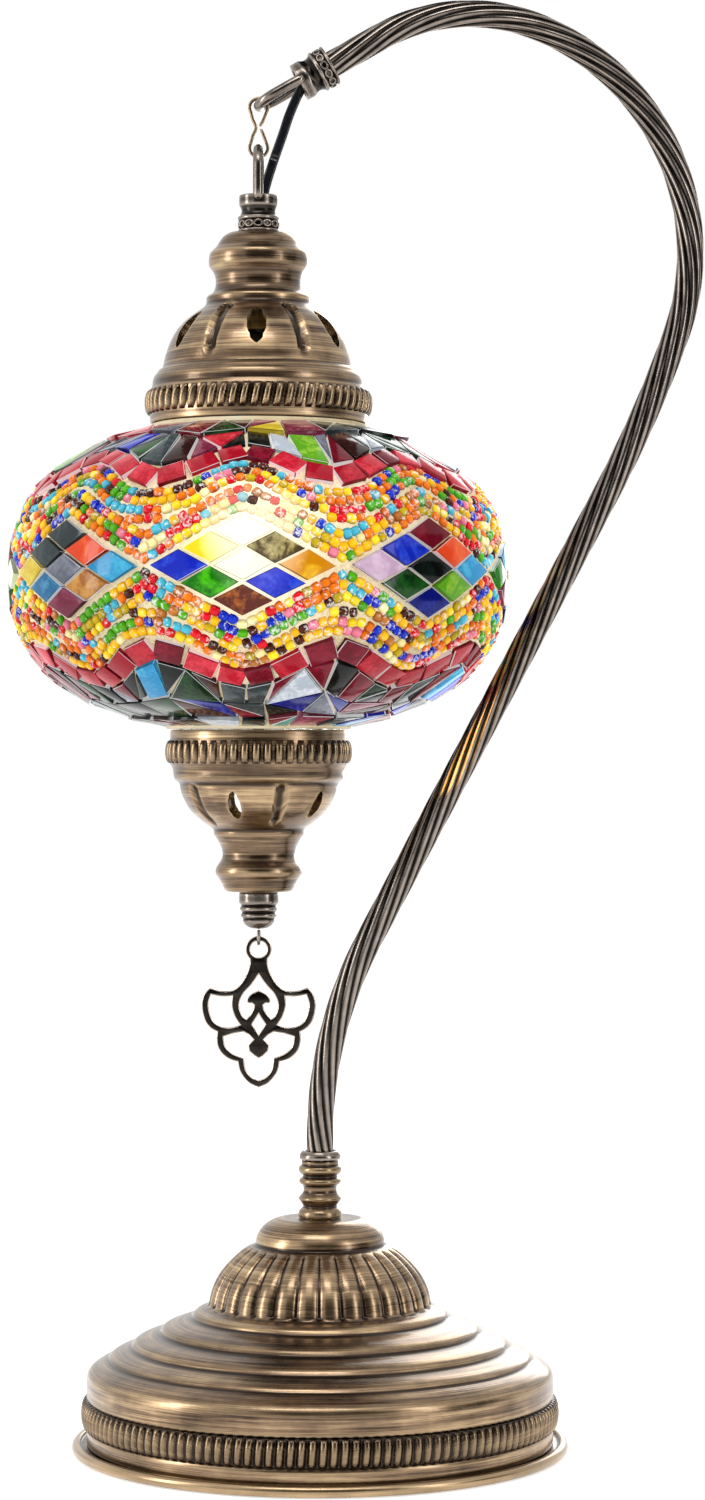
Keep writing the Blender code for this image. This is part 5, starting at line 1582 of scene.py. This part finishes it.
class LAMP_OT_fittings(bpy.types.Operator):
    """Finishes of the fittings whose shape the frame already has"""

    bl_idname = "lamp.fittings"
    bl_label = "Fittings"

    def execute(self, context):
        finishes = {
            "felt_pad": felt("felt"),
            "cord_bush": plastic("bush_plastic", (0.014, 0.014, 0.015), roughness=0.35),
            "shade_ring": plastic("ring_plastic", (0.016, 0.016, 0.017), roughness=0.4),
            "lampholder": plastic("holder_plastic", (0.018, 0.018, 0.019), roughness=0.38),
            "globe_glass": clear_glass("globe_clear_glass"),
            "bulb_glass": bulb_glow("bulb_frosted"),
        }
        brass = plain_metal("turned_brass", (0.74, 0.56, 0.26), roughness=0.2)
        steel = plain_metal("zinc", (0.60, 0.61, 0.62), roughness=0.3)
        for name in ("threaded_tube", "cap_tube", "holder_flange", "centre_contact"):
            finishes[name] = brass
        for name in ("lower_nut", "upper_nut", "upper_washer", "cap_nut", "upper_crossbar", "lower_crossbar",
                     "tie_rod", "tie_nut", "bulb_base"):
            finishes[name] = steel
        for name, material in finishes.items():
            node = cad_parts[name]
            for slot in node.material_slots:
                slot.material = material
        return {"FINISHED"}


class LAMP_OT_stage(bpy.types.Operator):
    """Pale floor, soft studio light and the camera"""

    bl_idname = "lamp.stage"
    bl_label = "Stage"

    def execute(self, context):
        scene = context.scene
        scene.view_settings.view_transform = "Standard"
        work = bmesh.new()
        bmesh.ops.create_grid(work, x_segments=1, y_segments=1, size=30.0)
        finish = Finish("studio_floor", Roughness=0.9)
        finish.shader.inputs["Specular IOR Level"].default_value = 0.0
        finish.shader.inputs["Emission Strength"].default_value = 1.0
        path = finish.node("ShaderNodeLightPath", {}, {})
        seen = finish.number(path.outputs["Is Camera Ray"]) + finish.number(path.outputs["Is Glossy Ray"])
        seen = (seen + finish.number(path.outputs["Is Transmission Ray"])).clip()
        cloud = finish.grain(finish.place(), 0.002, 2.0)
        floor = tuple(scene.lamp_colours.floor)
        base = finish.blend(floor, (0.93, 0.93, 0.93), cloud)
        finish.surface(Base_Color=base, Emission_Color=finish.blend((0, 0, 0), (0.58, 0.58, 0.58), seen))
        ground = keep("floor", work, finish.material, None)
        self.sky(scene)
        self.lights(scene)
        self.camera(scene)
        return {"FINISHED"}

    def sky(self, scene):
        """White all round, plain in level for light and full white where it is seen."""
        world = bpy.data.worlds.new("studio")
        scene.world = world
        world.use_nodes = True
        tree = world.node_tree
        back = tree.nodes["Background"]
        back.inputs["Color"].default_value = (1.0, 1.0, 1.0, 1.0)
        path = tree.nodes.new("ShaderNodeLightPath")
        total = path.outputs["Is Camera Ray"]
        for name in ("Is Glossy Ray", "Is Transmission Ray"):
            add = tree.nodes.new("ShaderNodeMath")
            add.operation = "ADD"
            add.use_clamp = True
            tree.links.new(total, add.inputs[0])
            tree.links.new(path.outputs[name], add.inputs[1])
            total = add.outputs[0]
        mix = tree.nodes.new("ShaderNodeMix")
        mix.data_type = "FLOAT"
        tree.links.new(total, mix.inputs[0])
        mix.inputs[2].default_value = 0.55
        mix.inputs[3].default_value = 1.0
        tree.links.new(mix.outputs[0], back.inputs["Strength"])

    def lights(self, scene):
        """Soft boxes left, right, overhead and behind, the lit glass's glow on the arm, and dark cards.

        Each lamp is (name, place, target, size, watts, colour). A card has neither watts nor colour.
        """
        white, amber = (1.0, 1.0, 1.0), (1.0, 0.55, 0.14)
        rig = (("left_box", (-1.25, -0.35, 0.45), (0.0, 0.0, 0.22), (0.30, 0.9), 6.5, white),
               ("right_box", (1.0, -0.72, 0.5), (0.0, 0.0, 0.2), (0.20, 0.9), 3.4, white),
               ("high_box", (-0.1, -0.62, 1.2), (0.0, 0.0, 0.1), (0.8, 0.22), 4.0, white),
               ("back_box", (0.3, 1.1, 0.6), (0.0, 0.0, 0.25), (0.5, 0.9), 4.0, white),
               ("glow", (0.042, -0.020, 0.236), (0.058, 0.0, 0.242), (0.02, 0.04), 0.018, amber))
        for name, place, target, (wide, tall), power, shade in rig:
            data = bpy.data.lights.new(name, "AREA")
            data.shape = "RECTANGLE"
            data.size = wide
            data.size_y = tall
            data.energy = power
            data.color = shade
            lamp = bpy.data.objects.new(name, data)
            scene.collection.objects.link(lamp)
            lamp.location = place
            lamp.rotation_euler = (Vector(target) - Vector(place)).to_track_quat("-Z", "Y").to_euler()
            lamp.visible_camera = False
        flags = (("front_flag", (0.15, -1.85, 0.85), (0.0, 0.0, 0.3), (2.5, 1.4)),
                 ("right_flag", (1.75, -0.45, 0.35), (0.0, 0.0, 0.3), (1.5, 0.8)),
                 ("top_flag", (0.0, 0.55, 1.35), (0.0, 0.15, 0.1), (0.55, 1.5)))
        card = Finish("black_card", Roughness=1.0)
        cloth = card.grain(card.place(), 0.01, 2.0)
        card.surface(Base_Color=card.ramp(cloth, [(0.0, (0.01, 0.01, 0.01)), (1.0, (0.03, 0.03, 0.03))]))
        for name, place, target, (wide, tall) in flags:
            work = bmesh.new()
            bmesh.ops.create_grid(work, x_segments=1, y_segments=1, size=0.5)
            turn = (Vector(target) - Vector(place)).to_track_quat("-Z", "Y").to_matrix().to_4x4()
            matrix = Matrix.Translation(place) @ turn @ Matrix.Diagonal((wide, tall, 1.0, 1.0))
            bmesh.ops.transform(work, matrix=matrix, verts=work.verts)
            flag = keep(name, work, card.material, None)
            flag.visible_camera = False
            flag.visible_diffuse = False
            flag.visible_shadow = False
            flag.visible_transmission = False

    def camera(self, scene):
        """Long lens at the height of the globe, looking level along +Y."""
        data = bpy.data.cameras.new("camera")
        data.lens = 88.5
        data.sensor_fit = "VERTICAL"
        data.sensor_height = 36.0
        data.shift_x = -0.0007
        data.shift_y = -0.0039
        camera = bpy.data.objects.new("camera", data)
        scene.collection.objects.link(camera)
        camera.location = (0.011, -1.21, 0.2315)
        camera.rotation_euler = (math.radians(90.0), 0.0, 0.0)
        scene.camera = camera


class LAMP_PT_panel(bpy.types.Panel):
    """Lists the steps that make the lamp"""

    bl_idname = "LAMP_PT_panel"
    bl_label = "Mosaic glass table lamp"
    bl_space_type = "VIEW_3D"
    bl_region_type = "UI"
    bl_category = "Lamp"

    def draw(self, context):
        column = self.layout.column()
        for step in STEPS:
            column.operator(step.bl_idname)
        for group in (context.scene.lamp_sizes, context.scene.lamp_colours):
            for name in group.bl_rna.properties.keys():
                if name not in ("rna_type", "name"):
                    column.prop(group, name)


STEPS = (LAMP_OT_stage, LAMP_OT_lead, LAMP_OT_base, LAMP_OT_stem, LAMP_OT_hanger, LAMP_OT_caps,
         LAMP_OT_mosaic, LAMP_OT_beads, LAMP_OT_grout, LAMP_OT_charm, LAMP_OT_fittings)
CLASSES = (LampSizes, LampColours, *STEPS, LAMP_PT_panel)


def register():
    """Add the classes and their settings."""
    for made in CLASSES:
        bpy.utils.register_class(made)
    bpy.types.Scene.lamp_sizes = bpy.props.PointerProperty(type=LampSizes)
    bpy.types.Scene.lamp_colours = bpy.props.PointerProperty(type=LampColours)


def unregister():
    """Take the classes and their settings away."""
    del bpy.types.Scene.lamp_colours
    del bpy.types.Scene.lamp_sizes
    for made in reversed(CLASSES):
        bpy.utils.unregister_class(made)


def corners(box):
    """Return a box as plain lists of numbers."""
    return [[float(value) for value in corner] for corner in box]


def main():
    """Make the whole lamp."""
    for thing in [o for o in bpy.data.objects if o.type in ("CAMERA", "LIGHT")]:
        bpy.data.objects.remove(thing)
    register()
    for step in STEPS:
        group, name = step.bl_idname.split(".")
        getattr(getattr(bpy.ops, group), name)()


if __name__ == "__main__":
    main()
